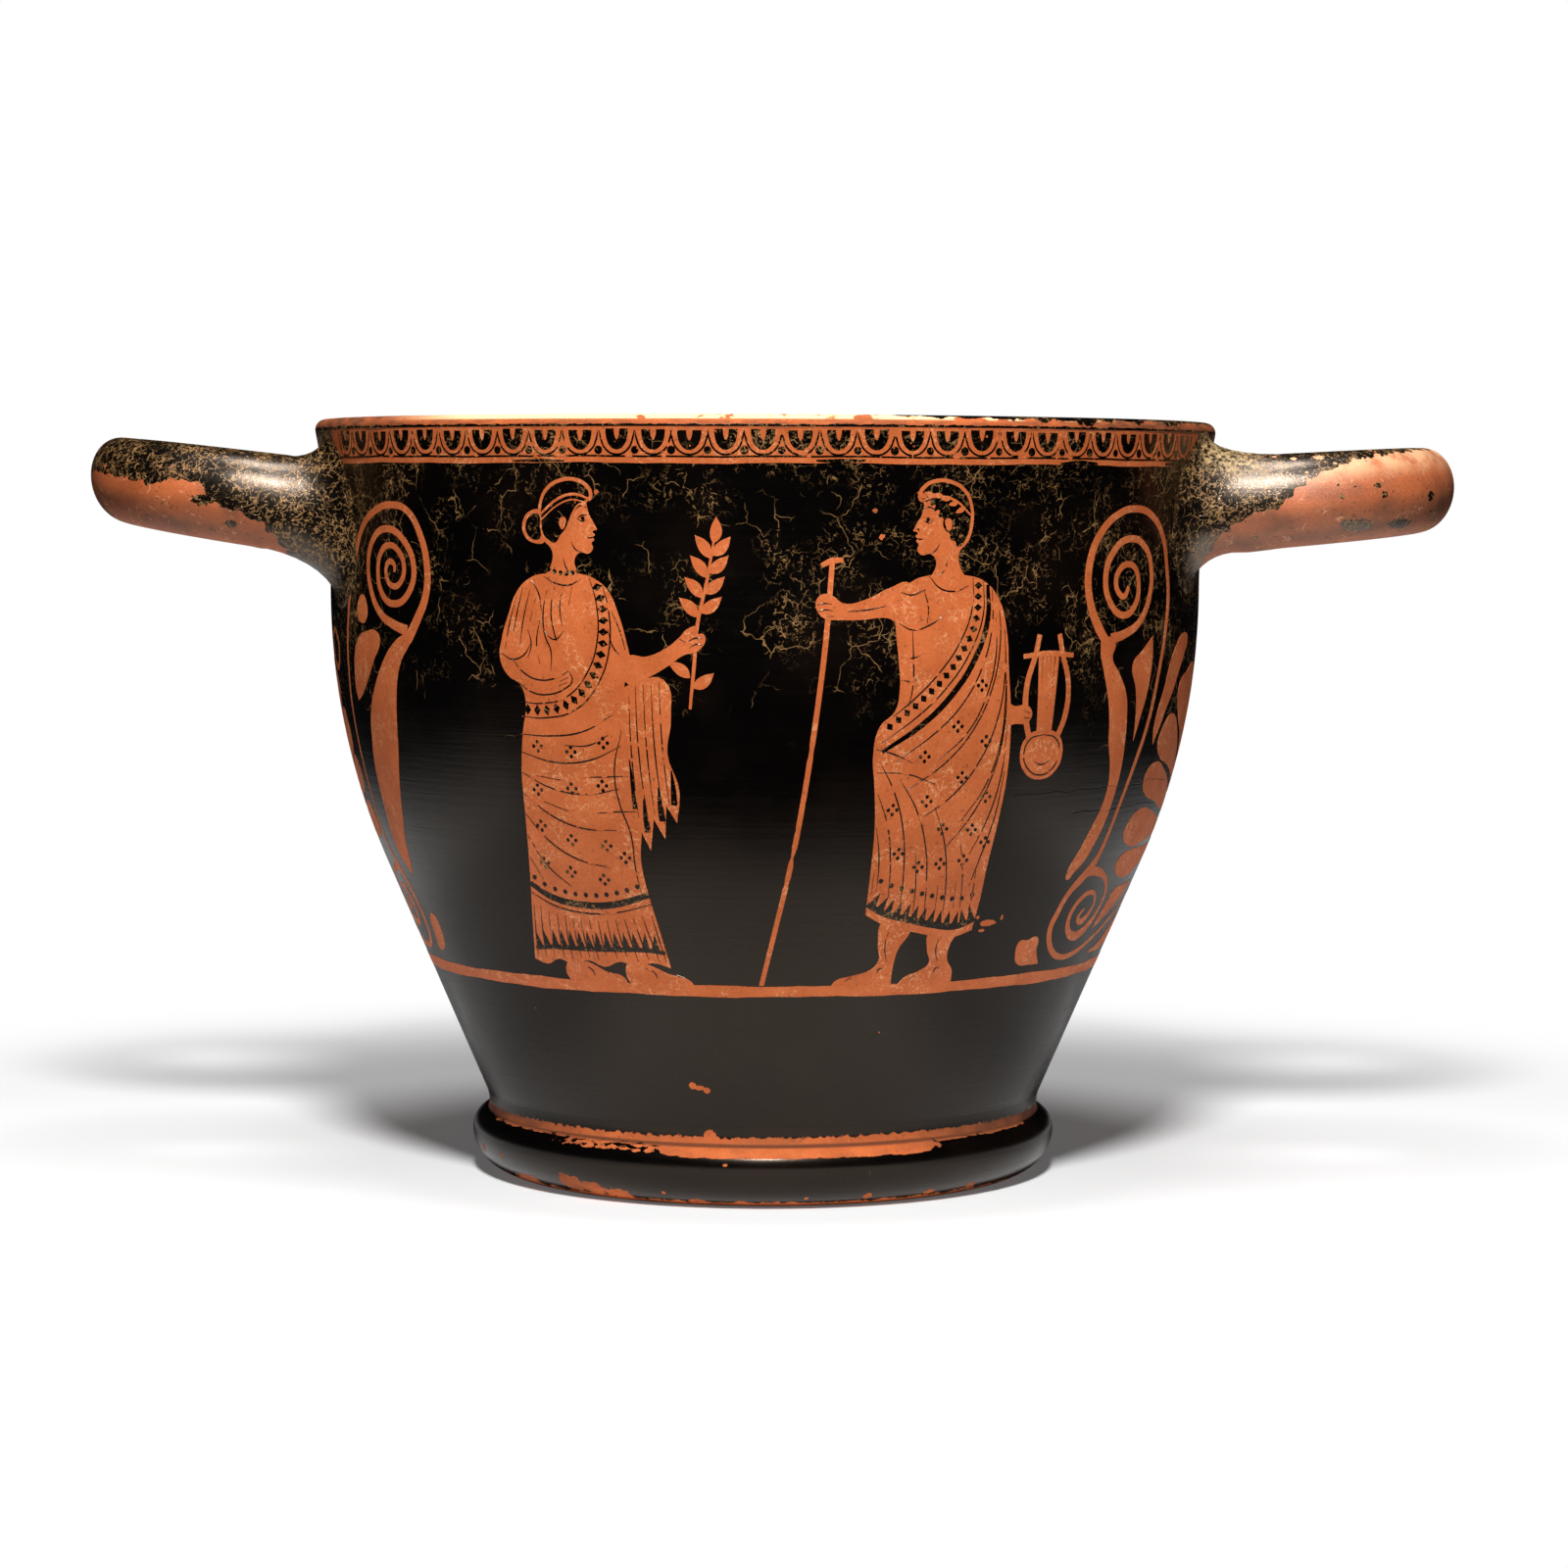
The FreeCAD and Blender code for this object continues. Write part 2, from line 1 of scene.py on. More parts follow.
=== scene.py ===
import math
import bpy
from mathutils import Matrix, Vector


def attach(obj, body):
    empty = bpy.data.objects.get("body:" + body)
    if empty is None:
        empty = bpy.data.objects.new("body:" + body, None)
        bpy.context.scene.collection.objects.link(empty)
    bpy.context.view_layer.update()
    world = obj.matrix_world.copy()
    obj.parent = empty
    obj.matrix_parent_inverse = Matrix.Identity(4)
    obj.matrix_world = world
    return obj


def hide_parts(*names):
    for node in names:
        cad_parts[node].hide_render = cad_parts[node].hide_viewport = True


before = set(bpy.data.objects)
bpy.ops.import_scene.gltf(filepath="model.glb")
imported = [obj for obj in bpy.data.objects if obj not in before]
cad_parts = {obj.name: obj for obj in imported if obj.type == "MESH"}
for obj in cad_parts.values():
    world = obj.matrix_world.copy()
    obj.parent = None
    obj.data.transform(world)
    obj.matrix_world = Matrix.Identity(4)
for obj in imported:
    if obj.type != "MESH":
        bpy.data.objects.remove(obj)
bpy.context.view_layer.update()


# The photographer's table. A white sheet of board with the cup in the middle of it, one big soft lamp
# above and in front, a paler light from above, and a dark room behind the camera, which the gloss mirrors.
class Shade:
    """What a shader node gives out. A sum or a product with it makes a further node."""

    def __init__(self, tree, socket):
        self.tree, self.socket = tree, socket

    def reckon(self, operation, *others):
        return node(self.tree, "Math", dict(enumerate((self, *others))), operation=operation)

    def __add__(self, other):
        return self.reckon("ADD", other)

    def __sub__(self, other):
        return self.reckon("SUBTRACT", other)

    def __mul__(self, other):
        return self.reckon("MULTIPLY", other)


def node(tree, kind, inputs=None, output=0, **settings):
    """Adds a shader node with its settings, sets or joins its inputs, and gives one of its outputs."""
    made = tree.nodes.new("ShaderNode" + kind)
    for setting, value in settings.items():
        setattr(made, setting, value)
    for name, value in (inputs or {}).items():
        if isinstance(value, Shade):
            tree.links.new(value.socket, made.inputs[name])
        else:
            made.inputs[name].default_value = value
    if made.outputs:
        return Shade(tree, made.outputs[output])


def empty_tree(owner):
    owner.use_nodes = True
    owner.node_tree.nodes.clear()
    return owner.node_tree


def sides_of(place):
    return [node(place.tree, "SeparateXYZ", {0: place}, side) for side in "XYZ"]


def length_of(place):
    return node(place.tree, "VectorMath", {0: place}, "Value", operation="LENGTH")


def rise(value, low, high, smooth="SMOOTHSTEP"):
    """0 below the first value and 1 above the second, with a smooth change between."""
    settings = {"Value": value, "From Min": low, "From Max": high}
    return node(value.tree, "MapRange", settings, interpolation_type=smooth)


def blend(share, first, second):
    return node(share.tree, "Mix", {"Factor": share, 6: first, 7: second}, 2, data_type="RGBA")


def mixed(share, first, second):
    return node(share.tree, "MixShader", {0: share, 1: first, 2: second})


def diffuse(colour):
    return node(colour.tree, "BsdfDiffuse", {"Color": colour})


def lamp(name, place, target, width, power):
    light = bpy.data.lights.new(name, "AREA")
    light.shape = "DISK"
    light.size = width
    light.energy = power
    holder = bpy.data.objects.new(name, light)
    bpy.context.collection.objects.link(holder)
    holder.location = place
    holder.rotation_euler = (Vector(place) - Vector(target)).to_track_quat("Z", "Y").to_euler()


camera = bpy.data.objects.new("camera", bpy.data.cameras.new("camera"))
bpy.context.collection.objects.link(camera)
camera.location = (0.0048, -1.0, 0.1629)
camera.rotation_euler = (math.radians(90 - 4.0165), -0.0042, 0.0003)
camera.data.sensor_width = 36
camera.data.lens = 94.97
bpy.context.scene.camera = camera

lamp("key_lamp", (0.0, -0.68, 0.75), (0, 0, 0.08), 0.15, 14.5)
lamp("top_lamp", (0.0, -0.12, 1.25), (0, 0, 0), 0.40, 7.8)

BLACK, WHITE = (0, 0, 0, 1), (1, 1, 1, 1)
room = bpy.data.worlds.new("room")
bpy.context.scene.world = room
tree = empty_tree(room)
dark = node(tree, "Background", {"Color": (1, 0.97, 0.94, 1), "Strength": 0.004})
white = node(tree, "Background", {"Color": WHITE, "Strength": 1.0})
node(tree, "OutputWorld", {"Surface": mixed(node(tree, "LightPath", output="Is Camera Ray"), dark, white)})

BOARD_WIDE, BOARD_FRONT, BOARD_BACK = 0.62, 0.42, 0.75
bpy.ops.object.select_all(action="DESELECT")
bpy.ops.mesh.primitive_circle_add(vertices=96, radius=1.0, fill_type="NGON", location=(0, 0, 0))
board = bpy.context.object
board.name = "white_board"
for corner in board.data.vertices:
    corner.co.x *= BOARD_WIDE
    corner.co.y *= BOARD_FRONT if corner.co.y < 0 else BOARD_BACK
paper = bpy.data.materials.new("white_paper")
tree = empty_tree(paper)
place = node(tree, "TexCoord", output="Object")
x, y = sides_of(place)[:2]
aside, away = x.reckon("ABSOLUTE"), length_of(place)
# The paper that the camera sees, which fades to plain white away from the cup.
grain = node(tree, "TexNoise", {"Scale": 900.0, "Detail": 2.0}, "Fac")
matt = diffuse(blend(grain, (0.65, 0.65, 0.65, 1), (0.69, 0.69, 0.69, 1)))
# A faint glow of the paper: painted light that lifts the shadows on it.
shadow_lifting_glow, backdrop = [node(tree, "Emission", {"Color": WHITE, "Strength": strength}) for strength in (0.10, 1.0)]
near = node(tree, "AddShader", {0: matt, 1: shadow_lifting_glow})
seen = mixed(rise(away, 0.17, 0.37, "SMOOTHERSTEP"), near, backdrop)
# The paper that the gloss mirrors, painted dark in front, with a painted shadow in a band on each side, and a copy
# without that shadow that glows faintly, painted bounce light that the clay takes up.
PALE = (0.86, 0.86, 0.86, 1)
reach = rise(y, -0.225, -0.09) * rise(aside, 0.42, 0.14)
painted_shadow_band = rise(aside, 0.05, 0.11) * rise(aside, 0.24, 0.17) * -0.55 + 1.0
painted_bounce_glow = rise(away, 0.45, 0.20) * 0.45 * rise(aside, 0.05, 0.15)
painted_bounce_glow = node(tree, "Emission", {"Color": WHITE, "Strength": painted_bounce_glow})
taken_up = node(tree, "AddShader", {0: diffuse(blend(reach, BLACK, PALE)), 1: painted_bounce_glow})
in_gloss = diffuse(blend(reach * painted_shadow_band, BLACK, PALE))
unseen = mixed(node(tree, "LightPath", output="Is Diffuse Ray"), in_gloss, taken_up)
node(tree, "OutputMaterial", {"Surface": mixed(node(tree, "LightPath", output="Is Camera Ray"), unseen, seen)})
board.data.materials.append(paper)
bpy.context.scene.view_settings.view_transform = "Standard"


# Bowl. Thrown on the wheel from orange-red clay in one piece: a floor, a wall that leans out, stands
# upright at the neck and turns out to a rounded lip. It is coated inside and out with black gloss,
# which has worn off the lip and flaked in small chips.
WALL, FLOOR_BELOW, FLOOR_TOP = 4.8, 10, 18
LEAN, LEAN_DEGREES = 0.43, 23.27  # of the straight lower part of the wall
LEAN_TOP, LEAN_TOP_RADIUS = 74.8, 90.87
NECK = 140  # the height where the wall stands upright
BELLY_CENTRE, BELLY_RADIUS = -60.7, 165
FLARE_CENTRE, FLARE_RADIUS = 304.3, 200
LIP_HEIGHT, LIP_RADIUS = 177.6, 2.4
FLOOR_CORNER = 28


def wall_radius(height):
    """Outside of the wall at a height, in millimetres: a straight lower part and two curves."""
    if height <= LEAN_TOP:
        return LEAN_TOP_RADIUS - (LEAN_TOP - height) * LEAN
    if height <= NECK:
        return BELLY_CENTRE + math.sqrt(BELLY_RADIUS**2 - (NECK - height) ** 2)
    return FLARE_CENTRE - math.sqrt(FLARE_RADIUS**2 - (height - NECK) ** 2)


def arc(centre, radius, first, last, pieces):
    """Points on an arc, its angles in degrees from the outward direction."""
    turns = [math.radians(turn) for turn in steps(first, last, pieces)]
    return [(centre[0] + radius * math.cos(turn), centre[1] + radius * math.sin(turn)) for turn in turns]


def steps(first, last, pieces):
    return [first + (last - first) * step / pieces for step in range(pieces + 1)]


def pick(piece):
    bpy.ops.object.select_all(action="DESELECT")
    piece.select_set(True)
    bpy.context.view_layer.objects.active = piece


def add_piece(name, data):
    piece = bpy.data.objects.new(name, data)
    bpy.context.collection.objects.link(piece)
    pick(piece)
    return piece


def as_mesh(name, curve):
    add_piece(name, curve)
    bpy.ops.object.convert(target="MESH")
    return bpy.context.object


def smooth_over(angle):
    """Faces turned outward, and smooth but for edges sharper than this angle, on the piece in hand."""
    bpy.ops.object.mode_set(mode="EDIT")
    bpy.ops.mesh.select_all(action="SELECT")
    bpy.ops.mesh.normals_make_consistent(inside=False)
    bpy.ops.object.mode_set(mode="OBJECT")
    bpy.ops.object.shade_smooth_by_angle(angle=math.radians(angle))


def turn_on_wheel(name, outline, closed=False):
    """Spins an outline of (radius, height) points, in millimetres, once round the cup's axis."""
    curve = bpy.data.curves.new(name, "CURVE")
    curve.dimensions = "3D"
    spline = curve.splines.new("POLY")
    spline.points.add(len(outline) - 1)
    for point, (radius, height) in zip(spline.points, outline):
        point.co = (radius / 1000, 0, height / 1000, 1)
    spline.use_cyclic_u = closed
    piece = as_mesh(name, curve)
    bpy.ops.object.mode_set(mode="EDIT")
    bpy.ops.mesh.select_all(action="SELECT")
    bpy.ops.mesh.spin(steps=256, angle=2 * math.pi, center=(0, 0, 0), axis=(0, 0, 1))
    bpy.ops.mesh.select_all(action="SELECT")
    bpy.ops.mesh.remove_doubles(threshold=0.000002)
    bpy.ops.object.mode_set(mode="OBJECT")
    smooth_over(40)
    return piece


lip_lean = math.degrees(math.asin((LIP_HEIGHT - NECK) / (FLARE_RADIUS + LIP_RADIUS)))
lip_centre = (FLARE_CENTRE - (FLARE_RADIUS + LIP_RADIUS) * math.cos(math.radians(lip_lean)), LIP_HEIGHT)
outline = [(radius, FLOOR_BELOW) for radius in (0, 30, 50)]
heights = steps(FLOOR_BELOW, LEAN_TOP, 26) + steps(LEAN_TOP, NECK, 32)[1:] + steps(NECK, 177.1, 20)[1:-1]
outline += [(wall_radius(height), height) for height in heights]
outline += arc(lip_centre, LIP_RADIUS, -lip_lean, 180 - lip_lean, 14)
outline += arc((FLARE_CENTRE, NECK), FLARE_RADIUS + WALL, 180 - lip_lean, 180, 18)[1:]
outline += arc((BELLY_CENTRE, NECK), BELLY_RADIUS - WALL, 0, -LEAN_DEGREES, 24)[1:]
corner_foot = outline[-1]
lean = math.radians(LEAN_DEGREES)
drop = corner_foot[1] - (FLOOR_TOP + FLOOR_CORNER * (1 - math.sin(lean)))
outline += [(corner_foot[0] - drop * LEAN * share, corner_foot[1] - drop * share) for share in steps(0, 1, 12)[1:]]
corner_centre = (outline[-1][0] - FLOOR_CORNER * math.cos(lean), FLOOR_TOP + FLOOR_CORNER)
outline += arc(corner_centre, FLOOR_CORNER, -LEAN_DEGREES, -90, 16)[1:]
outline += [(corner_centre[0] * share, FLOOR_TOP) for share in (0.8, 0.6, 0.4, 0.2, 0)]
bowl = turn_on_wheel("bowl_thrown", outline)


def place_in_mm(tree):
    there = node(tree, "TexCoord", output="Object")
    return node(tree, "VectorMath", {0: there, "Scale": 1000.0}, operation="SCALE")


def mottle(place, size, detail=2.0, warp=0.0):
    """Soft random mottling, about 0.5 on average, with spots of this size in millimetres."""
    settings = {"Vector": place, "Scale": 1 / size, "Detail": detail, "Distortion": warp}
    return node(place.tree, "TexNoise", settings, "Fac")


def stretch(place, x, y, z):
    return node(place.tree, "VectorMath", {0: place, 1: (x, y, z)}, operation="MULTIPLY")


def either(*masks):
    result = masks[0]
    for mask in masks[1:]:
        result = result.reckon("MAXIMUM", mask)
    return result


def hairlines(place, size, width, curl):
    """Fine curling threads, the marks that the fibres of roots leave on a glossy surface in the ground."""
    cloud = {"Vector": place, "Scale": 1 / size, "Detail": 3.0, "Roughness": 0.6}
    moved = {0: node(place.tree, "TexNoise", cloud, "Color"), 1: (curl,) * 3, 2: place}
    cells = {"Vector": node(place.tree, "VectorMath", moved, operation="MULTIPLY_ADD"), "Scale": 1 / size}
    net = node(place.tree, "TexVoronoi", cells, "Distance", feature="DISTANCE_TO_EDGE")
    line = rise(net, 1.1 * width / size, 0.5 * width / size)
    return line * rise(mottle(place, size * 1.3, 1.0), 0.46, 0.52) * rise(mottle(place, size * 0.55, 1.0), 0.43, 0.50)


def worn(place, share, size=2.2):
    """Ragged patches: none where the share is 0, spots where it is about a half, all of it where it is 1."""
    return rise((mottle(place, size, 5.0) - 1.0) * 2.2 + share * 2.2, 0.05, 0.15)


def between(value, low, high, soft):
    return rise(value, low - soft, low + soft) * rise(value, high + soft, high - soft)


def flake(place, centre, reach, ragged=0.35, low=1.0):
    """A chip in the gloss round a point, wider than tall where low is over 1."""
    spots = {0: stretch(place, 1 / low, 1 / low, 1), 1: (centre[0] / low, centre[1] / low, centre[2])}
    away = node(place.tree, "VectorMath", spots, "Value", operation="DISTANCE")
    edge = mottle(place, reach * 0.7, 2.0) * (2 * ragged * reach) - ragged * reach
    return (away + edge).reckon("LESS_THAN", reach)


def flakes(place, chips):
    return [flake(place, *chip) for chip in chips]


CLAY_LIGHT = (0.56, 0.135, 0.038, 1)
CLAY_DEEP = (0.41, 0.088, 0.021, 1)
# This dark brown paints specks, stains and grime, and also painted shade in creases and low on the handles.
CLAY_DARK = (0.12, 0.035, 0.014, 1)
CLAY_PALE = (0.72, 0.34, 0.16, 1)
# This cream paints rubbed pale clay, and also painted highlights on the lip's crest and the handles' tops.
CLAY_CREAM = (0.88, 0.56, 0.30, 1)
GLOSS_DARK = (0.0008, 0.0006, 0.0006, 1)
GLOSS_BROWN = (0.0035, 0.002, 0.0014, 1)
ROOT_TAN = (0.33, 0.175, 0.06, 1)
# This pale film colour also paints a highlight on top of the right handle.
ROOT_FILM_AND_SHEEN = (0.46, 0.32, 0.15, 1)
WARM_MIRROR = (1.0, 0.80, 0.64, 1)


def clay_colour(place):
    """Orange-red clay: broad mottling, a fine grain and a few dark specks."""
    broad = rise(mottle(place, 9, 3.0), 0.35, 0.68)
    grain = rise(mottle(place, 0.55, 2.0), 0.3, 0.75)
    plain = blend(grain * 0.45 + broad * 0.55, CLAY_DEEP, CLAY_LIGHT)
    return blend(rise(mottle(place, 0.9, 1.0), 0.67, 0.75) * 0.55, plain, CLAY_DARK)


def surface(colour, roughness, height, depth, shine, bend=1.5):
    """The shader that all the finishes end in, with its relief in millimetres."""
    tree = colour.tree
    relief = node(tree, "Bump", {"Height": height, "Distance": depth / 1000, "Strength": 1.0})
    look = {"Base Color": colour, "Roughness": roughness, "Normal": relief, "Specular Tint": WARM_MIRROR}
    shader = node(tree, "BsdfPrincipled", {**look, "Specular IOR Level": shine, "IOR": bend})
    node(tree, "OutputMaterial", {"Surface": shader})


def cracks(place):
    """Two level hair cracks in the right of the wall, mended long ago."""
    x, y, z = sides_of(place)
    level = mottle(place, 16, 5.0) * 5.0 + z
    upper = between(level, 98.80, 98.98, 0.09) * between(x, 57.0, 99.0, 2.0)
    lower = between(level, 93.32, 93.48, 0.09) * between(x, 71.0, 91.0, 2.0)
    return either(upper, lower) * rise(y, 0.0, -5.0)


def black_gloss(name, bare_places, root_and_sheen_share, stains_and_painted_light=None, shine=0.34, bend=1.5, matt=0.55):
    """Black gloss, bare clay where the named places say, and lines left by roots where that share is high."""
    finish = bpy.data.materials.new(name)
    place = place_in_mm(empty_tree(finish))
    bare = bare_places(place)
    black = blend(rise(mottle(place, 22, 4.0), 0.42, 0.72), GLOSS_DARK, GLOSS_BROWN)
    patches = mottle(place, 13, 4.0) + (root_and_sheen_share(place) if callable(root_and_sheen_share) else root_and_sheen_share)
    fine = either(hairlines(place, 4.2, 0.09, 5.0), hairlines(place, 2.0, 0.085, 3.0)) * rise(patches, 0.48, 0.84)
    long_ones = hairlines(place, 9.0, 0.11, 8.0) * rise(patches, 0.34, 0.56)
    thick = hairlines(place, 0.95, 0.10, 1.5) * rise(patches, 0.64, 0.94)
    lines = either(fine, thick * 0.85, long_ones * 0.6)
    # Root film, which on top of the right handle is partly a painted highlight.
    film_and_sheen = rise(patches, 0.95, 1.20) * rise(mottle(place, 1.1, 5.0), 0.42, 0.60)
    black = blend(film_and_sheen * 0.75, blend(lines, black, ROOT_TAN), ROOT_FILM_AND_SHEEN)
    clay = clay_colour(place)
    # Stains, and for some pieces painted shade and painted highlights in the clay.
    if stains_and_painted_light:
        clay = stains_and_painted_light(place, clay)
    cracked = cracks(place)
    colour = blend(cracked, blend(bare, black, clay), GLOSS_DARK)
    wheel = mottle(stretch(place, 0.03, 0.03, 1.0), 0.9, 3.0)
    height = wheel * 0.4 + mottle(place, 1.1, 3.0) * 0.2 - bare * 0.5 - cracked + lines * 0.3
    dull = either(bare, cracked, lines * 0.5, rise(patches, 0.6, 1.1) * 0.35)
    roughness = dull * matt + wheel * 0.12 + mottle(place, 6, 3.0) * 0.10 + 0.14
    surface(colour, roughness, height, 0.08, shine, bend)
    return finish


BOWL_CHIPS = [
    ((-15.6, -69.4, 28.9), 0.9, 0.3), ((-12.4, -69.6, 27.8), 0.8, 0.3), ((-14.0, -69.5, 28.4), 0.6, 0.2, 1.9),
    ((51.0, -71.0, 66.4), 0.75, 0.4, 3.0), ((54.2, -69.0, 67.6), 0.9, 0.5, 0.4), ((48.6, -73.3, 67.9), 0.45),
    ((49.6, -71.1, 64.7), 0.4, 0.4, 2.2), ((-11.8, -65.4, 16.8), 1.4, 0.4), ((-36.3, -99.2, 163.1), 0.55, 0.8),
    ((24.3, -102.4, 159.3), 0.5, 0.9), ((25.8, -101.5, 153.6), 0.6, 0.9),
]


def bare_on_bowl(place):
    """The rounded lip, which is worn, the band above the foot, which was left bare, and chips."""
    x, y, z = sides_of(place)
    crest = mottle(place, 5, 5.0) * -3.6 + (rise(x, 5.0, 45.0) * 2.5 + 106.4)
    lip = rise(mottle(place, 2.2, 4.0) + z, 178.3, 178.4)
    lip = lip * rise(length_of(stretch(place, 1, 1, 0)) - crest, -0.1, 0.1)
    collar = between(z, 176.6, 177.3, 0.05) * between(x, -99.5, 99.5, 0.3)
    points = node(place.tree, "TexVoronoi", {"Vector": place, "Scale": 1 / 11}, "Distance")
    pinholes = rise(points, 0.022, 0.016) * rise(z, 60.0, 50.0)
    foot = rise(mottle(place, 1.4, 4.0) * 2.4 + z, 17.9, 17.6)
    return either(lip, collar, foot, pinholes, *flakes(place, BOWL_CHIPS))


def stains_shade_and_highlight_on_bowl(place, clay):
    """Brown streaks on the lip, darker towards the sides; its crest pale in front, partly rubbed and partly a painted
    highlight; grime on the joint above the foot, darker towards the sides, and painted shade in the crease at its
    foot.
    """
    x, y, z = sides_of(place)
    streaks = rise(mottle(stretch(place, 0.3, 0.3, 1.5), 1.4, 4.0), 0.40, 0.62) * 0.4 + 0.15
    sides = rise((x + 6.0).reckon("ABSOLUTE"), 58.0, 88.0)
    lip = rise(z, 150.0, 160.0) * (sides * 0.45 + streaks)
    ends = rise((x + 3.0).reckon("ABSOLUTE"), 28.0, 56.0)
    dirt_and_darkening = ends * 0.6 + (rise(mottle(place, 7, 4.0), 0.35, 0.65) * 0.25 + 0.15)
    # The lowest part of the joint, in the crease over the foot, is darkened: painted shade.
    joint = rise(z, 30.0, 24.0) * either(dirt_and_darkening, rise(z, 15.5, 14.7))
    clay = blend(either(lip, joint), clay, CLAY_DARK)
    # The pale crest in front is partly rubbed clay and partly a painted highlight.
    pale = rise(z, 178.8, 179.2) * between(x, -74.0, 70.0, 14.0)
    pale = pale * rise(x * -0.0012 + mottle(place, 4, 4.0), 0.38, 0.46) * rise(y, -50.0, -70.0)
    return blend(pale * 0.9, clay, CLAY_CREAM)


def roots_on_bowl(place):
    """Roots have marked the upper half of the wall, most of all round the handles and under the lip."""
    x, y, z = sides_of(place)
    share = rise(x.reckon("ABSOLUTE"), 72.0, 104.0) * 0.16 + rise(z, 155.0, 172.0) * 0.06
    return share + rise(x, -30.0, 40.0) * 0.05 - rise(z, 132.0, 78.0) * 0.5 - 0.01


bowl.data.materials.clear()
bowl.data.materials.append(black_gloss("gloss_of_bowl", bare_on_bowl, roots_on_bowl, stains_shade_and_highlight_on_bowl))
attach(bowl, "root")
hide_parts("bowl")


# Joint between bowl and foot. A fillet of clay slip, smoothed into the corner with a finger when the
# foot was set on. It was left unpainted, and the gloss of the wall ends on it in a ragged edge.
JOINT_RADIUS, JOINT_BELOW, JOINT_TOP = 66.83, 14.35, 19
joint_rise = JOINT_TOP - JOINT_BELOW
outline = [(62, JOINT_BELOW)]
outline += [
    (JOINT_RADIUS + 0.06 * share - 0.4 * math.sin(math.pi * share), JOINT_BELOW + joint_rise * share)
    for share in steps(0, 1, 10)
]
outline += [(62, JOINT_TOP)]
joint = turn_on_wheel("joint_slip", outline, closed=True)
joint.data.materials.append(black_gloss("gloss_over_joint", bare_on_bowl, -0.5, stains_shade_and_highlight_on_bowl))
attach(joint, "root")
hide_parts("foot_joint_fillet")


# Ring foot. Thrown by itself as a thick ring with a round heel and shoulder, and stood on a narrow
# flat edge. It is glossed black outside, and the gloss is rubbed off its shoulder and chipped below.
FOOT_CHIPS = [
    ((-61.4, -33.5, 7.0), 0.8), ((-66.3, -22.4, 7.3), 1.1, 0.8), ((-54.6, -38.3, 2.4), 1.3, 0.8, 3.5),
    ((-46.5, -51.6, 5.4), 0.7, 0.6), ((-44.0, -52.3, 3.6), 2.2, 0.5, 1.7), ((-38.6, -55.4, 3.0), 1.8, 0.6, 1.8),
    ((-33.0, -58.4, 2.2), 1.5, 0.7, 2.2), ((-22.3, -64.2, 3.5), 0.5), ((-8.2, -69.8, 10.8), 0.35, 0.4, 1.6),
    ((10.3, -66.4, 2.7), 0.5), ((24.3, -62.7, 2.8), 1.1, 0.5), ((39.2, -55.0, 2.2), 0.9, 0.7, 1.8),
    ((48.8, -46.8, 2.5), 0.9, 0.7, 1.8),
]


def bare_on_foot(place):
    """Rubbed patches on the shoulder, chips on the heel, the resting edge and the unpainted inside."""
    x, y, z = sides_of(place)
    front = rise(y, 5.0, -5.0)
    streaky = stretch(place, 0.5, 0.5, 1.3)
    patches = between(x, -49.0, -20.0, 5.0) * between(z, 12.5, 14.6, 0.6) * front
    strip = between(x, -23.0, 40.0, 7.0) * between(z, 12.2, 15.2, 0.8) * front
    crease = between(x, -66.0, 64.0, 3.0) * between(z, 14.0, 15.2, 0.4) * front
    back = rise(mottle(place, 18, 3.0), 0.45, 0.65) * between(z, 12.3, 15.2, 0.6) * rise(y, -5.0, 5.0)
    rubbed = [
        worn(streaky, patches * 0.57, 1.1), worn(streaky, strip, 1.3), worn(streaky, crease * 0.62, 1.6),
        worn(streaky, back, 1.5),
    ]
    edge = rise(mottle(place, 3.0, 5.0) * 3.4 + z, 3.35, 3.2)
    inside = rise(length_of(stretch(place, 1, 1, 0)), 57.2, 56.8)
    return either(*rubbed, edge, inside, *flakes(place, FOOT_CHIPS))


def stains_and_shade_on_foot(place, clay):
    """Mottled grime, darker towards the sides, and painted shade in the crease along the joint."""
    x, y, z = sides_of(place)
    smear = rise(mottle(stretch(place, 0.4, 0.4, 1), 3, 4.0), 0.45, 0.65)
    dirt_and_darkening = smear * 0.3 + rise(x.reckon("ABSOLUTE"), 32.0, 50.0) * 0.5
    # The crease on the shoulder under the joint: painted shade.
    joint = rise(length_of(stretch(place, 1, 1, 0)), 67.9, 67.3) * rise(z, 12.0, 13.0)
    return blend(either(dirt_and_darkening, joint * 0.9), clay, CLAY_DARK)


outline = [(50, FLOOR_BELOW), (56.4, 0), (60.4, 0)]
outline += arc((60.4, 10), 10, -90, 0, 16)[1:]
outline += arc((65.7, 10), 4.7, 0, 90, 10)[1:]
outline += [(64.6, 14.7), (62.9, 10.6)]
foot = turn_on_wheel("foot_thrown", outline, closed=True)
foot.data.materials.append(black_gloss("gloss_of_foot", bare_on_foot, -0.3, stains_and_shade_on_foot))
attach(foot, "root")
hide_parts("foot_ring")


# Handles. Each is a rolled and pulled strap of clay, bent to a loop, stuck to the wall just under the
# lip and smoothed into it all round both roots. The gloss has worn off the outer half, where hands held it.
HALF_SPAN = 33  # from the cup's middle to the middle of a limb, and the bend's radius
SLOPE_FROM = 104.3  # how far out the slope of a handle is counted from
AROUND = 56  # points round a limb
EDGE_LOWEST, EDGE_RANGE = 140.0, 40.0  # heights that the edge of the worn clay may take


def oval(turn, width, depth):
    """A point on a limb's section and the outward direction there: across and up."""
    across, up = math.cos(turn), math.sin(turn)
    length = math.hypot(across / width, up / depth)
    return (width / 2 * across, depth / 2 * up), (across / width / length, up / depth / length)


